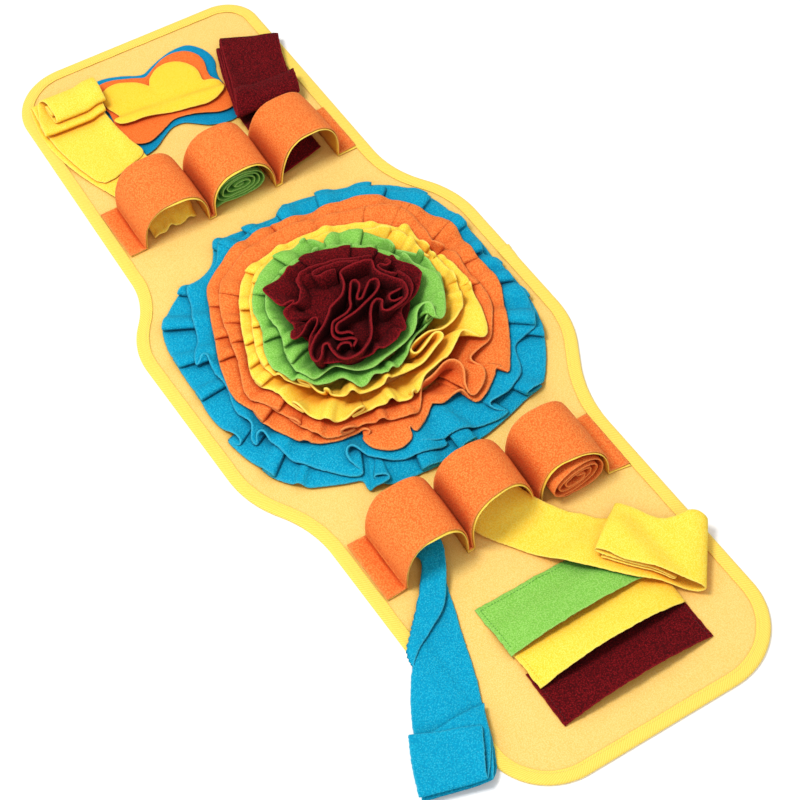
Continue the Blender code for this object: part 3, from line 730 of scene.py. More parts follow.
def tape_material():
    """Woven tape: slanting ribs of thread, a little uneven, with painted light on their backs and painted shade
    between them.
    """
    rib_part = 0.4
    material, tree, shader = new_material("edge_tape")
    along = add_node(tree, "ShaderNodeAttribute", attribute_name="tape_run")
    ribs = add_node(tree, "ShaderNodeTexWave", bands_direction="DIAGONAL", wave_profile="SIN",
                    values={"Scale": 0.24, "Distortion": 0.8, "Detail": 1.0, "Detail Scale": 2.0})
    threads = add_node(tree, "ShaderNodeTexNoise", values={"Scale": 1.3, "Detail": 3.0, "Roughness": 0.6})
    height = add_node(tree, "ShaderNodeMath", operation="MULTIPLY_ADD", values={1: rib_part})
    # painted light and shade: the ribs' raised backs are paler and the grooves between them darker
    shade = add_node(tree, "ShaderNodeValToRGB")
    for stop, colour, position in zip(
            shade.color_ramp.elements, (dye(230, 184, 44), dye(250, 220, 102)), (0.25, 0.85)):
        stop.color = colour
        stop.position = position
    bump = add_node(tree, "ShaderNodeBump", values={"Strength": 0.6, "Distance": 0.35 * MM})
    link(
        tree,
        (along, "Vector", ribs, "Vector"),
        (along, "Vector", threads, "Vector"),
        (ribs, "Fac", height, 0),
        (threads, "Fac", height, 2),
        (height, 0, shade, "Fac"),
        (shade, "Color", shader, "Base Color"),
        (height, 0, bump, "Height"),
        (bump, "Normal", shader, "Normal"),
    )
    set_sockets(shader, {"Roughness": 0.8, "Specular IOR Level": 0.2, "Sheen Weight": 0.15})
    return material


def thread_material(name, colour):
    """Sewing thread, shaded along its twist."""
    material, tree, shader = new_material(name)
    twist = add_node(tree, "ShaderNodeTexNoise", values={"Scale": 1600.0, "Detail": 2.0})
    place = add_node(tree, "ShaderNodeTexCoord")
    shade = add_node(tree, "ShaderNodeMixRGB", blend_type="MULTIPLY", values={"Fac": 0.5, "Color1": colour})
    link(
        tree,
        (place, "Object", twist, "Vector"),
        (twist, "Fac", shade, "Color2"),
        (shade, "Color", shader, "Base Color"),
    )
    set_sockets(shader, {"Roughness": 0.6})
    return material


def sew(name, seams, material):
    """A mesh of short threads: each seam is a list of (place, direction, up) vectors."""
    points = []
    faces = []
    for place, direction, up in seams:
        side = direction.cross(up).normalized()
        first = len(points)
        for along, width, rise in STITCH_PROFILE:
            middle = place + direction * (along * STITCH_LENGTH) + up * rise
            if width == 0.0:
                points.append(tuple(middle))
                continue
            for k in range(STITCH_SIDES):
                angle = math.radians(360 / STITCH_SIDES * k)
                arm = side * math.cos(angle) + up * (STITCH_ROUND * math.sin(angle))
                points.append(tuple(middle + arm * (width * STITCH_WIDTH / 2)))
        front = first + 1
        rear = front + STITCH_SIDES
        last = rear + STITCH_SIDES
        for k in range(STITCH_SIDES):
            n = (k + 1) % STITCH_SIDES
            faces.append((first, front + n, front + k))
            faces.append((front + k, front + n, rear + n, rear + k))
            faces.append((last, rear + k, rear + n))
    return add_piece(name, points, faces, material)


def run_along(line):
    """The distance along a line at each of its points."""
    return np.concatenate([[0.0], np.cumsum(np.linalg.norm(np.diff(line, axis=0), axis=1))])


def space_out(line, run, count, to_end=False):
    """A line's columns at evenly spaced distances along it."""
    at = np.linspace(0.0, run[-1], count, endpoint=to_end)
    return np.column_stack([np.interp(at, run, column) for column in line.T])


def loop_at(inset, count):
    """The mat's edge at an inset, as that many points with even spacing, and its length."""
    points = np.array([(p.x, p.y) for p in mat_edge(inset, 1.5)])
    closed = np.vstack([points, points[:1]])
    run = run_along(closed)
    return space_out(closed, run, count), run[-1]


def outward_loop(count):
    """Even points round the mat's edge from the lap on, with the direction into the mat."""
    loop, length = loop_at(0.0, count)
    start = int(np.argmin(np.hypot(loop[:, 0] - LAP_PLACE[0], loop[:, 1] - LAP_PLACE[1])))
    loop = np.roll(loop, -start, axis=0)
    heading = np.roll(loop, -1, axis=0) - np.roll(loop, 1, axis=0)
    heading /= np.linalg.norm(heading, axis=1, keepdims=True)
    return loop, heading, np.column_stack([-heading[:, 1], heading[:, 0]]), length


tape_loop, _, tape_inward, tape_length = outward_loop(TAPE_STEPS)
tape_rows = TAPE_STEPS + LAP_STEPS
tape_grid = []
for i in range(tape_rows):
    at = i % TAPE_STEPS
    lapped = min(max(i - TAPE_STEPS + 1.5, 0.0), 1.0)
    loose = LAP_LOOSE * max(i - tape_rows + 3, 0) / 2
    for inset, height in TAPE_SECTION:
        pull = TAPE_PULL * uneven(i * 0.35, inset * 0.2) * min(inset / TAPE_PULL_INSET, 1.0)
        swell = TAPE_SWELL * uneven(i * 0.18, inset * 0.3, 7.0) if height > SEAT else 0.0
        outward = LAP_OUT + loose if inset < TAPE_RIM else -LAP_IN
        upward = TAPE_THICK + 0.5 * loose if height > PANEL_THICK / 2 else 0.0
        x, y = tape_loop[at] + tape_inward[at] * (max(inset + pull, TAPE_LEAST_INSET) - lapped * outward)
        tape_grid.append((x, y, height + swell + lapped * upward))
tape_columns = len(TAPE_SECTION)
tape_points, tape_faces, _ = thicken(tape_grid, grid_faces(tape_rows, tape_columns), TAPE_THICK, ragged=0.05)
tape_points[:, 2] = np.maximum(tape_points[:, 2], TAPE_FLOOR_GAP)
tape = add_piece("edge_binding", tape_points, tape_faces, tape_material())
girth = run_along(np.array(TAPE_SECTION))
run_table = np.array([(r * tape_length / TAPE_STEPS, g, 0.0) for r in range(tape_rows) for g in girth])
rim_order = [k for k in range(len(run_table))
             if k < tape_columns or k >= (tape_rows - 1) * tape_columns or k % tape_columns in (0, tape_columns - 1)]
tape_run = np.vstack([run_table, run_table, run_table[rim_order]]).astype(np.float32)
tape_attribute = tape.data.attributes.new("tape_run", "FLOAT_VECTOR", "POINT")
tape_attribute.data.foreach_set("vector", tape_run.ravel())

stitch_count = round(tape_length / STITCH_PITCH)
stitch_loop, stitch_heading, stitch_inward, _ = outward_loop(stitch_count)
binding_seam = [
    (Vector((*(p + inward * STITCH_INSET), SEAT + STITCH_HEIGHT)), Vector((*h, 0.0)), Vector((0.0, 0.0, 1.0)))
    for p, h, inward in zip(stitch_loop, stitch_heading, stitch_inward)
]
binding_stitches = sew("binding_stitches", binding_seam, thread_material("yellow_thread", dye(255, 240, 130)))
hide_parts("binding")


# Rosette: gathered and pleated fleece strips, two of each colour, sewn down in rings from the
# outside in. Each strip stands up at its seam, flares out, and lies on the ring outside it.

ROSETTE_X = 3.0
ROSETTE_Y = 13.0
FOLD_SHAPES = {
    # along_in_half_widths, up_in_heights
    "pleat": [(-1.5, 0.0), (-0.6, 0.02), (0.4, 0.03), (1.0, 0.10), (1.1, 0.32), (0.4, 0.45), (-0.5, 0.50),
              (-1.1, 0.62), (-1.15, 0.92), (-0.4, 1.03), (0.7, 0.92), (1.4, 0.45), (2.1, 0.0)],
    "loop": [(-1.5, 0.0), (-0.3, 0.0), (0.7, 0.02), (1.05, 0.12), (0.8, 0.28), (0.1, 0.30), (-0.7, 0.36),
             (-1.25, 0.60), (-1.1, 0.96), (-0.4, 1.10), (0.45, 0.95), (1.15, 0.48), (1.9, 0.03)],
    "box": [(-1.6, 0.0), (-0.8, 0.02), (-0.35, 0.04), (-0.2, 0.22), (-0.5, 0.44), (-0.98, 0.52), (-1.15, 0.75),
            (-0.9, 1.0), (0.0, 1.06), (0.9, 1.0), (1.15, 0.75), (0.98, 0.52), (0.5, 0.44), (0.2, 0.22),
            (0.35, 0.04), (0.8, 0.02), (1.6, 0.0)],
    "wave": [(-1.7, 0.0), (-1.0, 0.08), (-0.62, 0.6), (-0.3, 1.0), (0.3, 1.0), (0.62, 0.6), (1.0, 0.08), (1.7, 0.0)],
    "stand": [(-1.5, 0.0), (-0.6, 0.0), (-0.35, 0.45), (-0.55, 0.95), (0.0, 1.15), (0.45, 0.85), (0.35, 0.35),
              (0.7, 0.0), (1.6, 0.0)],
}
STANDS = {"pleat": 0.0, "box": 0.1, "wave": 0.35, "loop": 0.8, "stand": 0.9}  # share of a fold on edge
RINGS = {
    "blue_lower": {
        "colour": "blue", "sewn": 128, "edge_height": 4.4, "droop": 2.0, "drift": 1.0, "seed": 1,
        "reach": [
            # angle, reach
            (0, 158), (14, 164), (24, 172), (33, 181), (45, 188), (60, 184), (72, 179), (82, 178), (86, 166),
            (98, 172), (109, 183), (114, 166), (122, 164), (129, 177), (138, 182), (146, 185), (154, 178),
            (162, 170), (170, 165), (178, 163), (186, 166), (193, 166), (199, 174), (209, 179), (216, 187),
            (229, 189), (238, 181), (243, 180), (248, 190), (258, 185), (266, 184), (275, 181), (291, 184),
            (300, 188), (304, 196), (312, 190), (318, 186), (330, 178), (345, 166),
        ],
        "folds": [
            # angle, half_width, height, shape, side
            (19.7, 8, 7.5, "pleat", 1), (37.4, 8, 7.5, "pleat", 1), (56, 8, 7.5, "pleat", 1),
            (69, 7, 7.5, "pleat", -1), (84, 6, 7.5, "pleat", -1), (97, 6, 7.5, "pleat", -1),
            (109, 6, 8.8, "pleat", -1), (130, 6, 8.8, "loop", -1), (144.5, 7, 8.8, "pleat", -1),
            (160, 7, 7.5, "pleat", -1), (176, 7, 7.5, "pleat", -1), (214, 7, 7.5, "pleat", -1),
            (224, 6, 6.2, "wave", 1), (262, 8, 7.5, "pleat", 1), (275, 9, 8.8, "box", 1), (302, 8, 10, "loop", 1),
            (324, 8, 7.5, "pleat", 1), (339.5, 7, 7.5, "pleat", 1), (356, 6, 7.5, "pleat", 1),
        ],
        "routes": [
            # angle, reach, lift of each point of the free edge where it winds about
            [
                (191, 166, 0), (194.5, 165.5, 5.1), (197, 165, 7.6), (199.6, 166, 7.6), (201, 169, 5.1),
                (200.2, 171.5, 2.5), (198, 171, 1.7), (196.4, 171, 0.8), (197.5, 173, 0), (200.5, 174.5, 0),
                (204, 177, 0),
            ],
            [
                (232.4, 184, 0), (237.2, 182, 0), (241.9, 179, 0), (242.9, 187, 0), (244, 192, 0),
                (244.6, 191, 5.1), (247.2, 190, 8.5), (249.6, 186, 8.5), (249, 182, 10.2), (245.8, 181, 10.2),
                (244.9, 183, 8.5),
            ],
        ],
    },
    "blue_upper": {
        "colour": "blue", "sewn": 121, "edge_height": 8.0, "droop": 3.0, "drift": 1.4, "seed": 2,
        "reach": [
            (0, 150), (14, 163), (25, 170), (35, 177), (50, 178), (66, 172), (80, 170), (90, 160), (100, 160),
            (109, 174), (116, 158), (130, 166), (140, 170), (150, 160), (162, 156), (172, 146), (180, 144),
            (190, 146), (198, 152), (205, 156), (212, 157), (220, 168), (230, 176), (238, 180), (243, 164),
            (250, 168), (260, 174), (268, 177), (273, 168), (282, 177), (290, 182), (300, 176), (310, 171),
            (320, 176), (335, 172), (345, 161), (353, 160),
        ],
        "folds": [
            (4.5, 7, 11.2, "pleat", 1), (18, 7, 10, "box", 1), (35.5, 8, 8.8, "pleat", 1), (51, 8, 7.5, "pleat", 1),
            (69, 7, 8.8, "pleat", -1), (84, 7, 8.8, "pleat", -1), (97, 6, 7.5, "pleat", -1),
            (107.5, 6, 10, "pleat", -1),
            (326.8, 8, 13.8, "pleat", 1), (347, 7, 10, "pleat", 1),
        ],
        "routes": [
            [
                (129.5, 172, 0), (132.3, 168, 0), (135.4, 162, 0), (139.3, 158, 0), (143.4, 155, 0),
                (147.6, 151, 0), (151.5, 149, 0), (155.5, 150, 1.7), (160.2, 153, 5.1), (164.2, 154, 5.1),
                (163.2, 150, 8.5), (160.9, 146, 10.2), (161.8, 142, 10.2), (164.4, 141, 6.8), (168, 140, 3.4),
                (171.9, 139, 0), (176.3, 137, 0), (180.5, 137, 0), (183.9, 140, 0), (188.7, 144, 1.7),
                (191.3, 146, 3.4), (194.6, 146, 5.1), (197.8, 146, 6.8), (200.2, 149, 6.8), (202, 155, 5.1),
                (203.5, 161, 3.4), (206, 163, 0), (205.4, 160, 5.1), (204.5, 156, 10.2), (205.5, 151, 11.9),
                (207.6, 152, 8.5), (209.9, 155, 5.1), (213.1, 158, 1.7), (217.2, 163, 0), (221.1, 167, 0),
                (225.6, 169, 0),
            ],
            [
                (232, 171, 0), (236.3, 175, 0), (240, 177, 0), (242.1, 175, 0), (241.6, 170, 3.4),
                (238.5, 163, 6.8), (237.1, 155, 10.2), (238.2, 149, 11.9), (240.4, 149, 10.2), (242.7, 153, 6.8),
                (245.6, 158, 1.7), (251.5, 165, 0), (259.1, 169, 0), (265.5, 171, 0), (269.8, 171, 0),
                (269.5, 167, 0), (266.1, 167, 3.4), (262.7, 165, 3.4), (261.3, 159, 5.1), (262.5, 158, 8.5),
                (265.9, 161, 6.8), (270.2, 165, 5.1), (276.2, 167, 0), (282.9, 175, 0), (287.5, 181, 0),
                (290.7, 183, 0), (291.5, 181, 1.7), (289.4, 174, 5.1), (289.3, 166, 8.5), (291.6, 167, 10.2),
                (297.4, 171, 5.1), (303.3, 173, 1.7), (307.7, 170, 0), (312.2, 162, 0), (317.9, 154, 0),
            ],
        ],
    },
    "orange_lower": {
        "colour": "orange", "sewn": 105, "edge_height": 14.0, "droop": 4.0, "drift": 1.8, "seed": 3,
        "reach": [
            (0, 141), (8, 143), (16, 151), (28, 154), (38, 156), (50, 163), (60, 159), (70, 150), (87, 148),
            (92, 152), (104, 154), (117, 154), (128, 152), (138, 140), (148, 134), (156, 131), (165, 132),
            (175, 134), (186, 139), (196, 136), (204, 143), (217, 146), (227, 145), (237, 139), (243, 142),
            (247, 154), (254, 159), (261, 149), (266, 148), (274, 130), (282, 137), (288, 157), (298, 155),
            (305, 162), (314, 154), (323, 150), (338, 148), (346, 146),
        ],
        "folds": [
            (2, 8, 7, "pleat", 1), (22, 7, 7, "pleat", 1), (40, 8, 6, "pleat", 1), (62, 8, 5, "wave", 1),
            (88, 8, 6, "pleat", -1), (112, 9, 5, "wave", 1), (134, 8, 6, "pleat", -1), (152.5, 6, 6, "pleat", -1),
            (164.5, 6, 6, "pleat", -1), (185, 7, 5, "wave", 1), (200, 8, 8, "pleat", -1), (222, 7, 6, "wave", 1),
            (343.5, 5, 6, "loop", 1),
        ],
        "routes": [
            [
                (230.7, 141, 0), (235.3, 138, 0), (238.8, 134, 1), (242.3, 131, 3), (243.7, 131, 6),
                (245.5, 133, 8), (246.4, 135, 6), (244.6, 136, 3), (243.3, 137, 1), (244.4, 145, 0),
                (247.4, 152, 0), (251.4, 156, 0), (255.5, 157, 0), (259.1, 155, 1), (260.6, 150, 3),
                (260.9, 142, 7), (262.1, 141, 7), (262.5, 148, 2), (265.1, 144, 1), (269.3, 136, 1),
                (273.9, 128, 2),
            ],
            [
                (275.4, 125, 1), (277.1, 131, 2), (279.7, 133, 4), (283.5, 134, 7), (286, 136, 9),
                (287.5, 139, 9), (287.4, 144, 6), (287.2, 150, 2), (288.1, 156, 1), (290.9, 157, 1),
                (295.7, 154, 1), (300.1, 152, 2),
            ],
            [
                (300.8, 152, 1), (302.9, 150, 4), (304.6, 153, 5), (303.9, 157, 4), (303.4, 163, 1),
                (308.5, 158, 1), (317.8, 152, 1), (330.1, 146, 1), (339.2, 146, 1),
            ],
        ],
    },
    "orange_upper": {
        "colour": "orange", "sewn": 98, "edge_height": 18.0, "droop": 4.0, "drift": 2.4, "seed": 4,
        "reach": [
            (0, 124), (8, 127), (15, 119), (22, 124), (30, 137), (38, 145), (45, 150), (55, 141), (70, 135),
            (90, 137), (110, 139), (125, 139), (140, 128), (155, 118), (170, 115), (180, 121), (190, 131),
            (200, 128), (208, 125), (214, 130), (220, 134), (229, 141), (237, 135), (245, 125), (256, 126),
            (266, 132), (272, 122), (282, 133), (289, 144), (297, 140), (306, 124), (318, 130), (330, 133),
            (342, 130), (350, 124),
        ],
        "folds": [
            (1, 6, 7, "wave", 1), (15, 7, 10, "loop", 1), (42, 6, 6, "pleat", 1), (56, 6, 5, "pleat", 1),
            (78, 8, 5, "wave", 1), (104, 8, 5, "wave", 1), (128, 8, 6, "pleat", -1), (146, 5, 6, "pleat", -1),
            (158, 5, 6, "pleat", -1), (174, 7, 5, "wave", 1), (190, 7, 6, "wave", 1), (203.5, 6, 8, "pleat", -1),
            (215, 6, 8, "loop", -1), (226, 6, 6, "wave", 1), (238, 6, 11, "loop", 1), (252, 7, 8, "wave", 1),
            (264, 7, 6, "wave", 1), (347.5, 6, 7, "pleat", 1),
        ],
        "routes": [
            [
                (275.8, 106, 8.5), (280.1, 109, 10.5), (285.6, 110, 12.5), (290.2, 110, 14.5),
                (293.6, 113, 16.5), (295.2, 118, 16.5), (295.1, 125, 14.5), (293, 131, 11.5),
                (290.1, 136, 8.5), (288.3, 142, 6.5), (287.2, 150, 5.5), (289.1, 152, 5.5),
                (292.4, 151, 5.5), (296.1, 148, 5.5), (299.4, 143, 5.5), (301.1, 136, 5.5), (301, 129, 6.5),
                (302.7, 125, 7.5), (305.9, 126, 6.5), (309.9, 129, 5.5), (313.7, 134, 4.5),
                (317.7, 135, 3.5), (324.2, 134, 3.5), (334.4, 135, 3.5),
            ],
        ],
    },
    "yellow_lower": {
        "colour": "yellow", "sewn": 78, "edge_height": 24.0, "droop": 4.0, "drift": 2.4, "seed": 5,
        "route_stand": 0.5,
        "reach": [
            (0, 115), (10, 109), (25, 113), (31, 123), (38, 117), (48, 120), (60, 119), (76, 117), (90, 115),
            (104, 118), (118, 121), (131, 113), (145, 106), (160, 104), (172, 106), (182, 113), (190, 117),
            (198, 112), (210, 116), (220, 122), (230, 128), (238, 122), (248, 112), (258, 110), (266, 116),
            (275, 112), (290, 112), (305, 116), (316, 131), (326, 125), (337, 119), (348, 118),
        ],
        "folds": [
            (6, 6, 8, "wave", 1), (19, 6, 9, "loop", 1), (33, 6, 8, "wave", 1), (50, 8, 5, "wave", 1),
            (72, 8, 5, "wave", 1), (97, 8, 5, "wave", 1), (115, 6, 6, "pleat", -1), (138, 7, 7, "pleat", -1),
            (162, 6, 6, "pleat", -1), (177, 6, 6, "pleat", -1), (190, 5, 6, "pleat", -1), (203, 6, 7, "wave", 1),
            (215, 6, 9, "loop", 1), (229, 7, 9, "wave", 1), (242, 6, 10, "loop", -1), (259, 5, 8, "wave", 1),
            (270, 5, 9, "stand", 1), (343, 6, 8, "stand", -1),
        ],
        "routes": [
            [
                (278.9, 105, 7), (284.6, 105, 8), (294.5, 108, 9), (300.5, 108, 9), (308.7, 108, 10),
                (313, 110, 10), (313.7, 116, 8), (313.4, 122, 6), (312.8, 128, 5), (314.9, 132, 4),
                (320, 130, 3), (325.1, 126, 2), (331, 123, 2),
            ],
        ],
    },
    "yellow_upper": {
        "colour": "yellow", "sewn": 64, "edge_height": 28.0, "droop": 3.5, "drift": 2.0, "seed": 6,
        "route_stand": 0.65,
        "reach": [
            (0, 106), (15, 100), (30, 110), (45, 108), (60, 107), (90, 105), (118, 107), (135, 100), (150, 94),
            (165, 95), (180, 100), (190, 102), (200, 98), (208, 95), (214, 93), (222, 96), (232, 97), (242, 96),
            (250, 95), (256, 93), (262, 88), (270, 85), (275, 90), (279, 95), (284, 98), (303, 98), (315, 100),
            (330, 107), (340, 106), (350, 106),
        ],
        "folds": [
            (8, 6, 9, "stand", 1), (25, 6, 8, "wave", 1), (42, 6, 8, "loop", 1), (62, 7, 5, "wave", 1),
            (88, 7, 5, "wave", 1), (106, 6, 5, "wave", 1), (121, 6, 6, "pleat", -1), (138, 6, 6, "wave", 1),
            (153, 6, 6, "pleat", -1), (168.5, 5, 6, "pleat", -1), (183, 5, 6, "pleat", -1), (197, 6, 8, "wave", 1),
            (212, 6, 10, "loop", 1), (226, 6, 9, "stand", 1), (240, 6, 9, "wave", 1), (262, 5, 6, "wave", 1),
            (336, 6, 9, "wave", 1), (350, 6, 9, "loop", 1),
        ],
        "routes": [
            [
                (281.9, 97, 8.5), (285.9, 97, 9.5), (291.9, 96, 10.5), (298.6, 96, 11.5), (303.9, 97, 11.5),
                (306.4, 92, 11.5), (304.5, 87, 11.5), (298.3, 86, 10.5), (291.4, 86, 9.5), (286.6, 85, 8.5),
                (285.6, 80, 7.5), (288.3, 75, 7.5), (296, 75, 7.5), (303.9, 78, 7.5), (308.2, 83, 7.5),
                (310.4, 90, 7.5), (315.2, 96, 7.5), (320.6, 101, 7.5), (326, 104, 7.5),
            ],
        ],
    },
    "green_lower": {
        "colour": "green", "sewn": 54, "edge_height": 34.0, "droop": 4.0, "drift": 1.8, "seed": 7,
        "route_stand": 0.3,
        "reach": [
            (0, 94), (8, 95), (17, 91), (28, 84), (36, 91), (48, 99), (62, 100), (71, 98), (76, 86), (80, 102),
            (95, 99), (107, 103), (127, 98), (144, 94), (158, 86), (168, 86), (180, 94), (193, 99), (205, 97),
            (213, 95), (228, 93), (236, 82), (241, 89), (246, 94), (252, 88), (262, 84), (272, 84), (282, 77),
            (292, 73), (303, 70), (315, 76), (324, 82), (335, 90), (350, 93),
        ],
        "folds": [
            (12, 6, 9, "stand", 1), (33, 6, 8, "loop", 1), (56, 6, 5, "pleat", 1), (72, 5, 7, "pleat", -1),
            (87, 6, 7, "stand", 1), (102.5, 6, 6, "pleat", -1), (130, 7, 6, "pleat", -1), (152, 6, 5, "wave", 1),
            (169, 6, 7, "pleat", -1), (200, 7, 5, "wave", 1), (267, 5, 7, "wave", 1), (290, 8, 5, "wave", 1),
            (317, 6, 11, "loop", 1), (333, 6, 11, "stand", -1), (352, 7, 6, "wave", 1),
        ],
        "routes": [
            [
                (226.8, 88, 0.5), (231.1, 82, 2.5), (235.7, 82, 3.5), (239.1, 86, 2.5), (241.7, 90, 0.5),
                (245.2, 92, 0.5), (248.5, 91, 1.5), (251.7, 86, 3.5), (255.1, 81, 4.5),
            ],
        ],
    },
    "green_upper": {
        "colour": "green", "sewn": 38, "edge_height": 38.0, "droop": 3.0, "drift": 1.8, "seed": 8,
        "route_stand": 0.35,
        "reach": [
            (0, 81), (9, 78), (19, 76), (36, 78), (50, 77), (60, 78), (75, 78), (91, 82), (102, 80), (120, 82),
            (135, 82), (150, 80), (160, 75), (170, 71), (180, 73), (190, 80), (200, 86), (210, 92), (220, 92),
            (228, 90), (233, 83), (240, 78), (248, 80), (256, 80), (264, 79), (275, 77), (288, 76), (307, 75),
            (321, 73), (335, 73), (345, 76),
        ],
        "folds": [
            (14, 5, 10, "loop", -1), (44, 5, 5, "pleat", 1), (62, 5, 5, "pleat", 1), (84, 6, 6, "stand", 1),
            (112, 5, 6, "pleat", -1), (136, 7, 5, "wave", 1), (160, 6, 5, "wave", 1), (182, 6, 7, "pleat", -1),
            (196, 5, 6, "pleat", -1), (212, 5, 5, "wave", 1),
        ],
        "routes": [
            [
                (225.5, 76, 6), (232, 76, 6), (240.6, 79, 5), (248.7, 80, 4), (257.6, 78, 4), (265.1, 73, 4),
                (278.1, 71, 4), (291.6, 71, 4), (303.9, 69, 5), (312.3, 66, 7), (318.4, 67, 9),
                (323, 72, 10), (322.6, 78, 10), (318.8, 81, 8), (314.4, 84, 6), (314.5, 89, 4),
                (318.6, 91, 3), (328.6, 90, 2), (340.9, 90, 2), (352.2, 92, 2),
            ],
        ],
    },
}
RING_THICK = 2.6
RING_ROWS = 11
ROW_CROWDING = 0.75  # under 1, it sets the rows closer towards the free edge
PATH_PITCH = 2.4
BASE_PITCH = 11.0
GATHER = 14  # steps of the free edge over which its folds even out at the seam
SEAM_FOLLOWS = 0.3  # how much of a lying fold's sideways shift is left at the seam
FULL_STAND = 7.0  # lift from which a routed edge stands up as far as its ring allows
RING_REST = 0.62  # share of the cloth's thickness between its middle and what it rests on
SOFT_REST = 2.0

FLEECE = {
    "orange": orange_fleece,
    "yellow": yellow_fleece,
    "blue": pile_material(
        "blue_fleece", dye(6, 172, 208), dye(0, 140, 184), dye(84, 204, 230),
        pill_size=1.5, relief=1.1, sheen=0.12, painted_shade_tint=(0.3, 0.26, 0.32)),
    "green": pile_material(
        "green_fleece", dye(150, 212, 96), dye(118, 186, 66), dye(184, 232, 134),
        pill_size=1.4, relief=0.9, sheen=0.12, painted_shade_tint=(0.16, 0.32, 0.30)),
}


def round_spline(points, advance, pitch):
    """A closed smooth line near its control points, resampled about a pitch apart, and its length."""
    points = np.asarray(points, float)
    count = len(points)
    fine = []
    for i in range(count):
        p = [points[(i + k - 1) % count] + advance * ((i + k - 1) // count) for k in range(4)]
        for t in np.linspace(0, 1, 12, endpoint=False):
            weights = ((1 - t) ** 3, 3 * t ** 3 - 6 * t ** 2 + 4, -3 * t ** 3 + 3 * t ** 2 + 3 * t + 1, t ** 3)
            fine.append(sum(w * q for w, q in zip(weights, p)) / 6)
    fine = np.array(fine + [fine[0] + advance])
    run = run_along(fine[:, :3])
    return space_out(fine, run, round(run[-1] / pitch)), run[-1]


def periodic(table, angles, soften=7):
    """A column against angle in degrees, smoothly joined all round."""
    table = np.array(table, float)
    where = np.concatenate([table[-3:, 0] - 360, table[:, 0], table[:3, 0] + 360])
    value = np.concatenate([table[-3:, 1], table[:, 1], table[:3, 1]])
    degrees = np.arange(-30, 390, 1.0)
    window = np.hanning(soften)
    soft = np.convolve(np.interp(degrees, where, value), window / window.sum(), mode="same")
    return np.interp(np.mod(angles, 360.0), degrees, soft)


SUPPORT_ANGLES = 720
SUPPORT_RADII = 110
SUPPORT_STEP = 2.0
support = np.full((SUPPORT_ANGLES, SUPPORT_RADII), SEAT)  # highest cloth so far, round the rosette


def spread_support(below, reach):
    """The highest point within a reach of each place, then evened out."""
    def neighbours(top):
        return np.hstack([top[:, :1], top[:, :-1]]), np.hstack([top[:, 1:], top[:, -1:]])

    top = below.copy()
    for _ in range(reach):
        top = np.maximum(top, np.maximum(np.roll(top, 1, 0), np.roll(top, -1, 0)))
        top = np.maximum(top, np.maximum(*neighbours(top)))
    for _ in range(3):
        top = (np.roll(top, 2, 0) + np.roll(top, -2, 0) + 2 * top) / 4
        top = (sum(neighbours(top)) + 2 * top) / 4
    return top


def look_up(field, angles, radii):
    """A support height at angles in degrees and radii in millimetres, in straight lines."""
    a = np.mod(angles, 360.0) * SUPPORT_ANGLES / 360.0
    r = np.clip(radii / SUPPORT_STEP, 0, SUPPORT_RADII - 1.001)
    a0 = np.floor(a).astype(int) % SUPPORT_ANGLES
    a1 = (a0 + 1) % SUPPORT_ANGLES
    r0 = np.floor(r).astype(int)
    fa, fr = a - np.floor(a), r - r0
    low = field[a0, r0] * (1 - fa) + field[a1, r0] * fa
    high = field[a0, r0 + 1] * (1 - fa) + field[a1, r0 + 1] * fa
    return low * (1 - fr) + high * fr


def lay_down(angles, radii, heights):
    """Raises the support to the cloth that now lies there."""
    for aside in (0.0, 0.25):
        a = np.floor(np.mod(angles + aside, 360.0) * SUPPORT_ANGLES / 360.0).astype(int) % SUPPORT_ANGLES
        for out in (0.0, 1.0):
            r = np.clip(np.floor(radii / SUPPORT_STEP + out).astype(int), 0, SUPPORT_RADII - 1)
            np.maximum.at(support, (a, r), heights)


def edge_path(ring, around):
    """Control points of a ring's free edge: distance along it, lift, reach, share stood on edge."""
    spans = []
    for angle, half_width, height, shape, side in ring["folds"]:
        centre = around * angle / 360
        outline = FOLD_SHAPES[shape]
        if side < 0:
            outline = [(-x, h) for x, h in reversed(outline)]
        span = [(centre + x * half_width, h * height) for x, h in outline]
        spans.append([(t, h, float(periodic(ring["reach"], t / around * 360)), STANDS[shape]) for t, h in span])
    for route in ring.get("routes", []):
        on_edge = ring.get("route_stand", 0.9)
        span = np.array([
            (around * angle / 360, lift, reach, on_edge * min(lift / FULL_STAND, 1))
            for angle, reach, lift in route])
        bend = span[:-2] - 2 * span[1:-1] + span[2:]
        span[1:-1] -= bend / 6
        spans.append(span.tolist())
    spans.sort(key=lambda span: span[0][0])
    path = []
    for i, span in enumerate(spans):
        path += span
        start = span[-1][0]
        end = spans[(i + 1) % len(spans)][0][0] + (around if i == len(spans) - 1 else 0.0)
        between = int((end - start) // BASE_PITCH)
        for k in range(1, between):
            t = start + (end - start) * k / between
            lift = ring["drift"] * (0.5 + uneven(t * 0.035, ring["seed"] * 7.3))
            path.append((t, max(lift, 0.0), float(periodic(ring["reach"], t / around * 360)), 0.0))
    return path


def flipped(faces):
    """The same faces, seen from their other side."""
    return [tuple(reversed(f)) for f in faces]


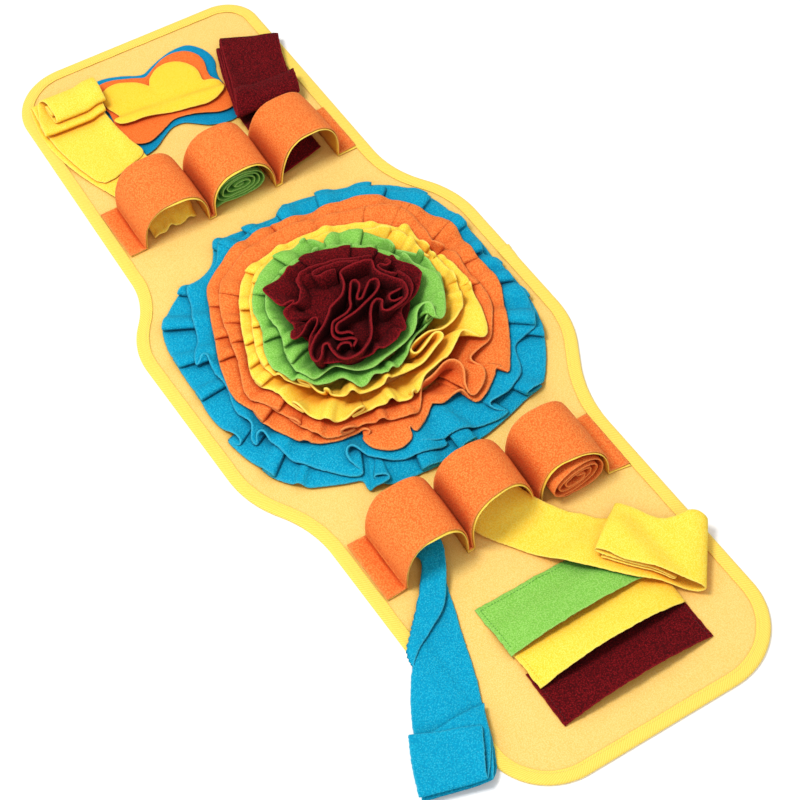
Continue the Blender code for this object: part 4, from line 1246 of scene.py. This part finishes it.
def build_ring(name, ring):
    """A ring from its tables, laid on the support, and the length of its free edge."""
    nominal = float(np.mean([r for _, r in ring["reach"]]))
    around = 2 * math.pi * nominal
    line, run = round_spline(edge_path(ring, around), np.array([around, 0.0, 0.0, 0.0]), PATH_PITCH)
    count = len(line)
    free = line[:, 0] / around * 360
    even = 360 * np.arange(count) / count
    shift = free - even
    window = np.hanning(2 * GATHER + 1)
    sewn = even + np.convolve(
        np.concatenate([shift[-GATHER:], shift, shift[:GATHER]]), window / window.sum(), mode="valid")
    stand = np.clip(line[:, 3], 0.0, 0.9)
    below = spread_support(support, 2)
    rows = []
    for row in range(RING_ROWS):
        v = (row / (RING_ROWS - 1)) ** ROW_CROWDING
        spread, rise = 1 - math.cos(v * math.pi / 2), math.sin(v * math.pi / 2)
        lying = SEAM_FOLLOWS + (1 - SEAM_FOLLOWS) * v
        angles = sewn + (free - sewn) * (lying + (v ** 0.6 - lying) * stand)
        radius = ring["sewn"] + (line[:, 2] - ring["sewn"]) * (spread + (rise - spread) * stand)
        climb = rise + (spread - rise) * stand
        height = SEAT + RING_THICK / 2 + (ring["edge_height"] + line[:, 1] - SEAT) * climb
        sag = np.array([uneven(a * 0.05, v * 1.5, ring["seed"] * 3.1) for a in angles])
        height += ring["drift"] * sag * v - ring["droop"] * v ** 4
        gap = height - look_up(below, angles, radius) - RING_THICK * RING_REST
        height += 0.5 * (np.sqrt(gap * gap + SOFT_REST ** 2) - gap)
        theta = np.radians(angles)
        rows.append(np.column_stack([
            ROSETTE_X + radius * np.cos(theta), ROSETTE_Y + radius * np.sin(theta), height]))
        lay_down(angles, radius, height + RING_THICK / 2)
    points, faces, mask = thicken(np.vstack(rows), grid_faces(RING_ROWS, count, closed=True), RING_THICK)
    return add_piece(name, points, flipped(faces), FLEECE[ring["colour"]], mask), run


for name, ring in RINGS.items():
    piece, run = build_ring(f"ring_{name}", ring)
    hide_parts(f"rosette_{name}")


# Flaps: three fleece rectangles sewn down along their far edge and both sides. Each near edge is
# free and bows up in a pocket mouth, and each overlaps the flap nearer to the mat's end.

FLAP_THICK = 1.7
FLAP_PITCH = 3.4
FLAP_GAP = 0.5
FLAP_WAVE = 0.7
FLAPS = {
    # colour, sewn_y left and right, free_y left and right, left, right, level, bulge
    "burgundy": (-399, -404, -458, -456, -71, 83, 0.0, 9.0),
    "yellow": (-360, -362, -418, -416, -69, 83, 1.3, 13.0),
    "green": (-320, -322, -378, -376, -72, 75, 1.6, 8.0),
}
PUCKERED = "green"
PUCKER_HEIGHT = 2.2
PUCKER_X, PUCKER_WIDTH = 62, 9.0  # from the flap's left edge
PUCKER_ALONG, PUCKER_LENGTH = 0.06, 0.09  # shares of the way from the seam to the free edge
SEAM_INSET = 3.5
THREAD_DYES = {"burgundy": dye(80, 8, 16), "yellow": dye(250, 214, 60), "green": dye(96, 170, 60)}

burgundy_fleece = pile_material(
    "burgundy_fleece", dye(118, 6, 14), dye(54, 1, 6), dye(184, 38, 46), pill_size=1.5, relief=1.7, sheen=0.03)
FLEECE["burgundy"] = burgundy_fleece


def flap_height(name, x, y):
    """Height of a flap's middle: flat at its seams, bowed up and over the next flap at its free edge."""
    sewn_left, sewn_right, free_left, free_right, left, right, level, bulge = FLAPS[name]
    sewn_y = np.interp(x, (left, right), (sewn_left, sewn_right))
    free_y = np.interp(x, (left, right), (free_left, free_right))
    across = (x - left) / (right - left)
    along = (y - sewn_y) / (free_y - sewn_y)
    crown = max(1 - abs(2 * across - 1) ** 2.2, 0.0)
    step = level * (FLAP_THICK + FLAP_GAP) * smoothstep(0.25, 0.6, along)
    bow = bulge * crown * max(along, 0.0) ** 1.35
    wave = FLAP_WAVE * uneven(x * 0.045, y * 0.06, level * 7.0) * min(along * 3, 1.0) * crown
    pucker = 0.0
    if name == PUCKERED:
        pucker = PUCKER_HEIGHT * math.exp(
            -((x - left - PUCKER_X) / PUCKER_WIDTH) ** 2 - ((along - PUCKER_ALONG) / PUCKER_LENGTH) ** 2)
    return SEAT + FLAP_THICK / 2 + step + bow + wave + pucker


for name, (sewn_left, sewn_right, free_left, free_right, left, right, level, bulge) in FLAPS.items():
    rows = round((sewn_left - free_left) / FLAP_PITCH)
    columns = round((right - left) / FLAP_PITCH)
    grid = []
    for i in range(rows + 1):
        for j in range(columns + 1):
            share = j / columns
            x = left + (right - left) * share
            y = sewn_left + (sewn_right - sewn_left) * share
            y += ((free_left + (free_right - free_left) * share) - y) * i / rows
            grid.append((x, y, flap_height(name, x, y)))
    points, faces, mask = thicken(grid, grid_faces(rows + 1, columns + 1), FLAP_THICK, ragged=0.9)
    flap = add_piece(f"flap_{name}_cloth", points, flipped(faces), FLEECE[name], mask)
    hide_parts(f"flap_{name}")
    spots = []
    for side_x in (left + SEAM_INSET, right - SEAM_INSET):
        for k in range(int((sewn_left - free_left - 6) / STITCH_PITCH)):
            spots.append((side_x, sewn_left - 4 - k * STITCH_PITCH, (0.0, 1.0, 0.0)))
    for k in range(int((right - left - 8) / STITCH_PITCH)):
        x = left + 5 + k * STITCH_PITCH
        spots.append((x, np.interp(x, (left, right), (sewn_left, sewn_right)) - SEAM_INSET, (1.0, 0.0, 0.0)))
    seam = [
        (Vector((x, y, flap_height(name, x, y) + FLAP_THICK / 2 - 0.1)), Vector(heading), Vector((0.0, 0.0, 1.0)))
        for x, y, heading in spots
    ]
    stitches = sew(f"flap_{name}_stitches", seam, thread_material(f"{name}_thread", THREAD_DYES[name]))


# Burgundy centre: the innermost strip is gathered so tightly that it stands packed on edge. Its
# cut edge winds over the top like a thick cord, with dark gaps between the turns.

CENTRE_THICK = 3.0
WALL_FOOT = 33.0
WALL_ROWS = 7
WALL_PITCH = 2.2
WALL_SWAY = 1.3
WALL_UNEVEN = 1.8
BED_RINGS = 16
BED_SPOKES = 72
BED_INNER = 2.0
BED_OUTER = 56.0
BED_HEIGHT = 42.0
BED_FALL = 2.0
CENTRE_SKIRT = {
    "colour": "burgundy", "sewn": 24, "edge_height": 50.0, "droop": 2.5, "drift": 1.6, "seed": 9,
    "reach": [
        (2, 72), (7, 67), (14, 64), (35, 63), (49, 64), (62, 65), (75, 67), (86, 71), (101, 70), (112, 70),
        (122, 73), (130, 78), (135, 82), (140, 79), (145, 74), (151, 66), (163, 63), (175, 60), (192, 61),
        (200, 60), (204, 62), (208, 74), (214, 82), (221, 82), (229, 75), (240, 74), (252, 72), (264, 69),
        (276, 68), (287, 67), (296, 66), (301, 56), (307, 49), (313, 48), (319, 53), (325, 59), (332, 64),
        (341, 68), (350, 74), (356, 76),
    ],
    "routes": [
        [
            (126, 74, 0), (131, 79, 0.5), (135, 83, 1), (138, 83.5, 1.5), (141, 79, 1.5), (146, 72, 1.5),
            (152, 66, 2), (153, 62, 3), (151, 57, 5), (151, 52, 6), (155, 54, 5), (157, 60, 3), (161, 63, 1),
            (168, 61, 0), (176, 59, 0),
        ],
        [
            (180, 61, 0), (184, 66, 0.5), (189, 70, 1), (192.5, 67, 2), (192, 57, 4.5), (187, 47, 6.5), (189, 40, 7),
            (195.5, 42, 6), (198.5, 50, 3.5), (200, 58, 1), (203, 62, 0),
        ],
    ],
    "folds": [
        (18, 4, 5, "wave", 1), (38, 5, 4, "pleat", 1), (62, 5, 4, "pleat", 1), (98, 5, 5, "pleat", -1),
        (114, 5, 5, "wave", 1), (178, 5, 5, "wave", 1),
        (240, 5, 5, "wave", 1), (262, 5, 5, "wave", 1), (286, 5, 5, "wave", 1), (346, 5, 4, "wave", 1),
    ],
}
WALLS = [
    # top height, foot's share of the way out, joined in a ring, route of the cut edge
    (60, 0.86, True, [
        (33, 25), (18, 27), (11, 27), (6, 25), (4, 18), (2, 11), (-3, 4), (-9, -1), (-17, -4), (-24, -7),
        (-29, -12), (-36, -18), (-42, -23), (-48, -27), (-55, -31), (-62, -37), (-68, -45), (-69, -53),
        (-66, -56), (-60, -52), (-55, -45), (-51, -41), (-47, -42), (-48, -49), (-49, -57), (-48, -63),
        (-43, -68), (-36, -70), (-28, -70), (-19, -65), (-11, -59), (-5, -51), (0, -42), (6, -32), (12, -25),
        (18, -23), (21, -27), (18, -32), (16, -37), (20, -41), (29, -40), (36, -39), (42, -37), (47, -31),
        (49, -24), (49, -16), (45, -10), (41, -4), (37, 3), (36, 11), (38, 17), (39, 22)]),
    (59, 0.80, False, [
        (-29, -59), (-24, -55), (-27, -50), (-32, -47), (-37, -43), (-39, -37), (-36, -30), (-31, -24),
        (-23, -21), (-14, -20), (-7, -16), (-2, -6), (4, 3), (10, 10), (14, 9), (14, 3), (10, -3), (5, -8),
        (3, -12), (7, -13), (12, -9), (20, -2), (26, 2), (31, 0), (30, -7), (24, -13), (17, -16), (8, -19),
        (0, -22), (-10, -24), (-19, -25), (-27, -27), (-32, -31), (-33, -36), (-29, -39), (-24, -41), (-22, -46)]),
    (58, 0.80, False, [(-31, -58), (-30, -53), (-34, -50), (-39, -50), (-44, -53)]),
    (57, 0.80, False, [(46, -22), (39, -23), (31, -24), (29, -29), (33, -33), (40, -34)]),
    (57, 0.72, False, [
        (29, 30), (22, 33), (13, 38), (4, 41), (-5, 43), (-14, 43), (-16, 39), (-11, 35), (-3, 35), (4, 33)]),
    (53, 0.70, False, [(-16, 46), (-24, 47), (-30, 47), (-32, 41), (-33, 34), (-37, 28), (-42, 22), (-49, 24)]),
    (55, 0.75, False, [(55, -1), (58, -10), (57, -21), (52, -30), (44, -36), (35, -38), (27, -39)]),
    (56, 0.80, False, [(-31, 43), (-24, 50), (-9, 49), (11, 44), (29, 36), (43, 29)]),
    (56, 0.75, False, [(54, 19), (54, 12), (49, 11), (44, 16), (41, 14), (42, 9), (46, 2), (51, -4)]),
]

skirt, skirt_run = build_ring("centre_skirt", CENTRE_SKIRT)
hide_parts("rosette_burgundy")


def join_sheets(sheets):
    """Several sheets' points, faces and masks as one sheet's."""
    points, faces, masks = [], [], []
    for sheet_points, sheet_faces, sheet_mask in sheets:
        offset = sum(len(p) for p in points)
        points.append(sheet_points)
        faces += [tuple(k + offset for k in f) for f in sheet_faces]
        masks.append(sheet_mask)
    return np.vstack(points), faces, np.concatenate(masks)


bed_grid = []
for ring in range(BED_RINGS):
    for spoke in range(BED_SPOKES):
        theta = math.radians(360 * spoke / BED_SPOKES)
        radius = BED_INNER + (BED_OUTER - BED_INNER) * ring / (BED_RINGS - 1)
        x, y = radius * math.cos(theta), radius * math.sin(theta)
        crumple = 3.5 * uneven(x, y, 0.0, 0.07) + 1.5 * uneven(x, y, 5.0, 0.16)
        z = BED_HEIGHT - BED_FALL * (radius / BED_OUTER) ** 2 + crumple
        bed_grid.append((ROSETTE_X + x, ROSETTE_Y + y, z))
packed = [thicken(bed_grid, flipped(grid_faces(BED_RINGS, BED_SPOKES, closed=True)), CENTRE_THICK)]
for top, foot, joined, route in WALLS:
    line = follow(route, WALL_PITCH, joined)
    grid = []
    for row in range(WALL_ROWS):
        rise = row / (WALL_ROWS - 1)
        share = foot + (1 - foot) * rise ** 0.8
        for x, y in line:
            sway = WALL_SWAY * uneven(x * 0.06, y * 0.06, rise * 1.2 + top)
            z = WALL_FOOT + (top - WALL_FOOT) * math.sin(rise * math.pi / 2)
            z += WALL_UNEVEN * rise * uneven(x * 0.045, y * 0.045, 3.0 + top)
            grid.append((ROSETTE_X + x * share + sway, ROSETTE_Y + y * share + sway, z))
    packed.append(thicken(grid, grid_faces(WALL_ROWS, len(line), closed=joined), CENTRE_THICK))
packed_points, packed_faces, packed_mask = join_sheets(packed)
centre = add_piece("centre_folds", packed_points, packed_faces, burgundy_fleece, packed_mask)
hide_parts("rosette_burgundy")


# Loose strips: long fleece strips that start inside the tunnels and are folded where they lie,
# for hiding food in. Their ends are folded over in layers, and the folds stay open and soft.

STRIP_THICK = 1.9
STRIP_PITCH = 3.2
STRIP_WAVE = 0.9
STRIP_CRINKLE = 0.25
STRIP_CURL = 0.5  # how much the cut edges curl up
STRIP_FLOOR_GAP = 0.1
STRIPS = {
    "yellow_near": {
        "colour": "yellow", "columns": 18, "flat": (0.062, 0.40),
        "rows": [
            # x, y, height over what lies below: of the row's left end, then of its right end
            (-24, -208, 2, 22, -208, 2), (-26, -232, 4, 25, -230, 10), (-27, -250, 1, 30, -250, 12),
            (-18, -268, 0, 40, -266, 7), (-8, -284, 0, 52, -281, 2), (4, -303, 0, 62, -290, 1),
            (19, -325, 0, 70, -300, 0), (38, -348, 0, 84, -314, 0),
            (60, -374, 0, 106, -336, 0),
            (80, -394, 0, 125, -350, 0), (91, -406, 0.6, 137, -359, 1.5), (100, -415, 2.6, 143, -363, 6),
            (103.5, -418, 7.6, 145, -363, 12), (101, -415, 12.6, 143, -359, 17), (93, -405, 15.6, 137, -352, 19.5),
            (78, -386, 14.6, 124, -347, 16.5),
            (60, -362, 11.5, 110, -338, 13), (49, -343, 12, 93, -310, 14), (44, -337, 11, 88, -304, 13),
            (43, -337, 9, 88, -304, 10.5), (47, -343, 7.6, 92, -309, 8.4), (62, -364, 7, 108, -330, 7.6),
            (80, -387, 7, 126, -348, 8), (87, -396, 6.2, 133, -354, 7.4), (86, -395, 4.6, 132, -353, 5.6),
            (78, -385, 3.8, 124, -346, 4.2), (60, -362, 3.4, 106, -326, 3.6), (46, -343, 3.2, 92, -308, 3.2),
        ],
    },
    "blue": {
        "colour": "blue", "columns": 26, "flat": (0.064, 0.47),
        "rows": [
            # four points a row where the strip is folded over its own width
            (-62, -206, 9, -88, -206, 6, -64, -207, 3, -86, -208, 0),
            (-60, -236, 10, -90, -236, 4, -62, -240, 3, -84, -240, 0),
            (-64, -256, 12, -86, -254, 9, -76, -258, 3, -69, -260, 1),
            (-72, -272, 9.5, -93, -266, 7, -86, -273, 1, -76, -276, 0),
            (-82, -288, 6.5, -105, -281, 5, -95, -290, 0.5, -82, -293, 0),
            (-95, -304, 4.5, -119, -296, 3, -105, -307, 0, -87, -310, 0),
            (-118, -318, 3.4, -133, -311, 2.4, -115, -323, 0, -93, -327, 0),
            (-139, -331, 2.6, -146, -326, 1.8, -122, -338, 0, -98, -343, 0),
            (-154, -347, 0.2, -149, -349, 0.4, -125, -355, 0, -103, -360, 0),
            (-170, -372, 0, -109, -378, 0), (-183, -399, 0, -121, -409, 0), (-194, -425, 0, -131, -438, 0),
            (-204, -446, 0, -143, -462, 0), (-208, -451, 2.2, -150, -468, 2.8), (-206, -447, 4.6, -147, -464, 5.6),
            (-198, -428, 4.0, -134, -442, 4.8), (-190, -407, 3.4, -121, -410, 3.8),
            (-187, -401, 4.4, -118, -405, 5.0), (-189, -404, 6.2, -121, -410, 6.8),
            (-197, -425, 6.6, -134, -440, 7.6), (-206, -444, 7.2, -148, -460, 8.4),
            (-210, -450, 9.4, -155, -468, 11.0), (-209, -447, 11.8, -154, -464, 13.6),
            (-199, -421, 10.6, -143, -444, 12.4), (-187, -396, 9.4, -133, -425, 10.6),
        ],
    },
    "burgundy": {
        "colour": "burgundy", "columns": 17, "flat": (0.062, 0.60),
        "rows": [
            (47, 228, 1, 98, 236, 4), (48, 252, 4, 99, 254, 1), (50, 286, 1, 100, 284, 1),
            (51, 310, 0, 104, 306, 0), (53, 330, 0, 112, 322, 0), (64, 380, 0, 124, 364, 0),
            (78, 420, 0, 136, 394, 0), (81, 427, 1.4, 139, 400, 1.4), (80, 423, 3.0, 138, 396, 3.0),
            (66, 380, 2.8, 127, 364, 2.8), (55, 346, 2.8, 118, 338, 2.8), (50, 329, 3.2, 116, 325, 3.2),
            (49, 324, 4.4, 115, 320, 4.4), (52, 331, 5.8, 117, 326, 5.8), (62, 364, 5.6, 125, 352, 5.6),
            (76, 402, 5.8, 135, 384, 5.8), (86, 428, 6.2, 141, 399, 6.2), (89, 432, 7.6, 143, 403, 7.6),
            (87, 427, 8.8, 141, 398, 8.8), (76, 396, 8.4, 133, 378, 8.4), (63, 356, 8.2, 122, 348, 8.2),
            (53, 331, 8.4, 118, 327, 8.4), (47, 318, 10.0, 116, 314, 10.0), (45, 313, 14.0, 116, 309, 13.6),
            (47, 317, 18.2, 118, 313, 17.4), (53, 329, 20.2, 122, 325, 19.2), (58, 340, 18.6, 125, 335, 17.6),
            (60, 346, 15.4, 127, 340, 14.8),
        ],
    },
}


def over_near_right(x, y):
    """The mat's top, over the flaps' far right corner and the binding's right edge."""
    flaps = 9.5 * smoothstep(-296, -330, y) * smoothstep(98, 72, x)
    return SEAT + max(flaps, 1.2 * smoothstep(122, 130, x))


def over_left_edge(x, y):
    """The mat's top, over the binding at its left edge, then down to the table."""
    rise = 1.3 * smoothstep(-122, -130, x)
    drop = (SEAT + 1.3) * smoothstep(-141, -166, x)
    return SEAT + rise - drop


def over_far_right(x, y):
    """The mat's top, over the flower's petals and the binding at the right."""
    petals = 4.5 * smoothstep(82, 68, x) * smoothstep(318, 336, y)
    return SEAT + petals + 1.2 * smoothstep(122, 131, x)


OVER = {"yellow_near": over_near_right, "blue": over_left_edge, "burgundy": over_far_right}


def lay_strip(rows, columns, over, seed):
    """A strip's middle surface from its rows of points, with their heights over what lies below."""
    most = max(len(row) for row in rows)
    table = []
    for row in rows:
        ends = np.array(row, float).reshape(-1, 3)
        if len(row) < most:
            ends = np.array([ends[0] + (ends[1] - ends[0]) * k / 3 for k in range(4)])
        table.append(ends.ravel())
    line = follow(table, STRIP_PITCH)
    grid = []
    for i, row in enumerate(line):
        across = row.reshape(-1, 3)
        if len(across) > 2:
            across = follow(across, 1.5)
        across = space_out(across, run_along(across), columns, to_end=True)
        for j, (x, y, up) in enumerate(across):
            soft = STRIP_WAVE * (0.4 + uneven(x * 0.035, y * 0.035, seed))
            soft += STRIP_CRINKLE * uneven(x * 0.09, i * 0.3, seed + 4.0)
            curl = STRIP_CURL * abs(2 * j / (columns - 1) - 1) ** 6
            grid.append((x, y, over(x, y) + STRIP_THICK / 2 + up + max(soft, 0.0) + curl))
    return grid, grid_faces(len(line), columns)


for number, (name, strip) in enumerate(STRIPS.items()):
    grid, quads = lay_strip(strip["rows"], strip["columns"], OVER[name], number * 5.0)
    points, faces, mask = thicken(grid, quads, STRIP_THICK, ragged=0.5)
    points[:, 2] = np.maximum(points[:, 2], STRIP_FLOOR_GAP)
    piece = add_piece(f"strip_{name}_cloth", points, flipped(faces), FLEECE[strip["colour"]], mask)
    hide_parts(f"strip_{name}")


# Rolls: strips wound up flat and pushed into the tunnels, and one wound up in the mat's far left
# corner at the end of its own strip. The windings are loose, and show as a spiral at each end.

ROLL_THICK = 1.8
ROLL_ROWS = 13
ROLL_PITCH = 1.9
ROLL_SLIP = 2.2  # how unevenly the windings slipped out of line,
ROLL_HOLLOW = 3.0  # and how far they stand out between the outside and the middle
ROLL_GIVE = 0.5
TUNNEL_ROLLS = {
    "green": {
        "near_y": 228, "far_y": 284, "flat": (0.056, 0.52),
        "spiral": [
            # x, z
            (-29, 5.0), (-20, 7.4), (-8, 5.2), (8, 4.6), (20, 6.0), (27, 12), (26.5, 21), (20, 29), (8, 34.5),
            (-6, 35), (-18, 31), (-25, 23), (-25.5, 14.5), (-19, 9.6), (-9, 8.8), (2, 7.8), (14, 9.0), (21.5, 14),
            (21.5, 22), (14, 29), (2, 31.6), (-10, 30), (-19, 24.5), (-20.5, 17.5), (-14, 13.2), (-4, 12.4),
            (7, 11.4), (15, 14), (17, 20), (11, 25.6), (1, 28), (-8, 26.4), (-14.5, 21.6), (-12, 17), (-3, 15.8),
            (7, 15.8), (11.5, 19), (8, 23), (0, 24.2), (-6.5, 21.6), (-3, 19.2), (4, 19.6),
        ],
    },
    "orange": {
        "near_y": -264, "far_y": -205, "flat": (0.058, 0.50),
        "spiral": [
            (54, 9.0), (60, 5.0), (74, 4.4), (89, 5.8), (99, 11.5), (102, 21), (98.5, 31), (89, 38), (75, 40.2),
            (61, 37), (51, 29.5), (48.5, 20), (53, 12.4), (64, 9.0), (78, 9.2), (90, 13.2), (96, 21), (93.5, 29.4),
            (84, 34.6), (72, 35.2), (60.5, 31), (54, 23.6), (57, 16.4), (67, 13.6), (79, 14.6), (88.5, 19.4),
            (89, 26), (80.5, 30), (70, 29.6), (61, 25), (62.5, 19.2), (71, 18.2), (80, 20.6), (82, 24.6), (74, 25.6),
        ],
    },
}

for name, roll in TUNNEL_ROLLS.items():
    line = follow(roll["spiral"], ROLL_PITCH)
    grid = []
    for row in range(ROLL_ROWS):
        y = roll["near_y"] + (roll["far_y"] - roll["near_y"]) * (row / (ROLL_ROWS - 1))
        for k, (x, z) in enumerate(line):
            inner = k / len(line)
            slip = -ROLL_SLIP * uneven(inner * 7.0, 0.0, len(name)) - ROLL_HOLLOW * inner * (1 - inner)
            give = ROLL_GIVE * uneven(x * 0.05, y * 0.06, z * 0.06)
            grid.append((x + give, y + slip, max(z + give, SEAT + ROLL_THICK / 2)))
    points, faces, mask = thicken(grid, grid_faces(ROLL_ROWS, len(line)), ROLL_THICK, ragged=0.3)
    piece = add_piece(f"roll_{name}_cloth", points, faces, FLEECE[name], mask)
    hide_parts(f"roll_{name}")

ROLLED_STRIP = {
    # y, height, left_x, right_x along the strip's middle from its lower layer to the roll's inside
    "lower": [
        (228, 1.5, -100, -52), (246, 5.0, -100, -50), (268, 3.0, -102, -50), (290, 1.0, -105, -51),
        (310, 0.3, -111, -52), (336, 0.0, -120, -56), (366, 0.0, -128, -60), (396, 0.0, -132, -63),
        (420, 0.0, -132, -64), (440, 0.3, -129, -62), (454, 1.2, -126, -59), (459, 3.8, -124, -57),
        (455, 6.4, -124, -57), (444, 6.6, -125, -58), (428, 6.2, -127, -60), (414, 6.2, -129, -62),
        (408, 7.6, -130, -63), (408, 9.6, -130, -63), (414, 10.8, -129, -62), (428, 10.2, -127, -60),
        (438, 9.8, -123, -57), (447, 10.8, -120, -56), (451, 14.4, -117, -55), (448, 18.8, -114, -55),
        (440, 21.6, -112, -56), (429, 22.0, -112, -57), (419, 19.4, -112, -58), (415, 15.6, -113, -58),
        (418, 12.4, -114, -58), (427, 11.8, -114, -58), (436, 12.8, -114, -58), (441, 15.4, -114, -58),
        (438, 18.0, -114, -58), (431, 18.6, -114, -58), (425, 16.8, -114, -58), (427, 15.0, -114, -58),
    ],
    "upper": [
        (322, 2.6, -107, -96), (328, 2.4, -112, -80), (335, 2.3, -115, -57), (360, 2.2, -121, -60),
        (390, 2.2, -126, -63), (412, 2.4, -127, -64), (420, 3.6, -128, -66), (425, 5.0, -128, -66),
        (428, 4.2, -128, -66),
    ],
}
ROLLED_PITCH = 2.4
ROLLED_COLUMNS = 20
ROLLED_SLANT = {"lower": 1.0, "upper": 0.4}  # how much of the slant of its folds each layer has
MOUTH_Y = (266, 232)  # from here on the lower layer is crumpled, where it goes into the tunnel
MOUTH_CRUMPLE = 11.0
MOUTH_SLANT = 9.0


def over_far_left(x, y):
    """The mat's top, over the flower's petals and the binding at the left."""
    petals = 4.0 * smoothstep(-80, -66, x) * smoothstep(322, 338, y) * smoothstep(474, 462, y)
    return SEAT + petals + 1.2 * smoothstep(-120, -128, x)


layers = []
for layer, rows in ROLLED_STRIP.items():
    line = follow(rows, ROLLED_PITCH)
    grid = []
    for y, up, left_x, right_x in line:
        in_mouth = smoothstep(*MOUTH_Y, y)
        for j in range(ROLLED_COLUMNS):
            share = j / (ROLLED_COLUMNS - 1)
            x = left_x + (right_x - left_x) * share
            skew = -0.08 * (x + 92) * ROLLED_SLANT[layer]
            soft = 0.7 * (0.5 + uneven(x * 0.04, y * 0.05, 2.0))
            soft += MOUTH_CRUMPLE * in_mouth * max(0.15 + uneven(x * 0.085, y * 0.05, 7.0), 0.0)
            slant = MOUTH_SLANT * in_mouth * (share - 0.35 + 0.7 * uneven(x * 0.07, 0.0, 3.0))
            grid.append((x, y + skew + slant, over_far_left(x, y) + STRIP_THICK / 2 + up + soft))
    layers.append(thicken(grid, grid_faces(len(line), ROLLED_COLUMNS), STRIP_THICK, ragged=0.4))
rolled_points, rolled_faces, rolled_mask = join_sheets(layers)
rolled = add_piece("strip_yellow_rolled_cloth", rolled_points, rolled_faces, yellow_fleece, rolled_mask)
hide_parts("strip_yellow_rolled")
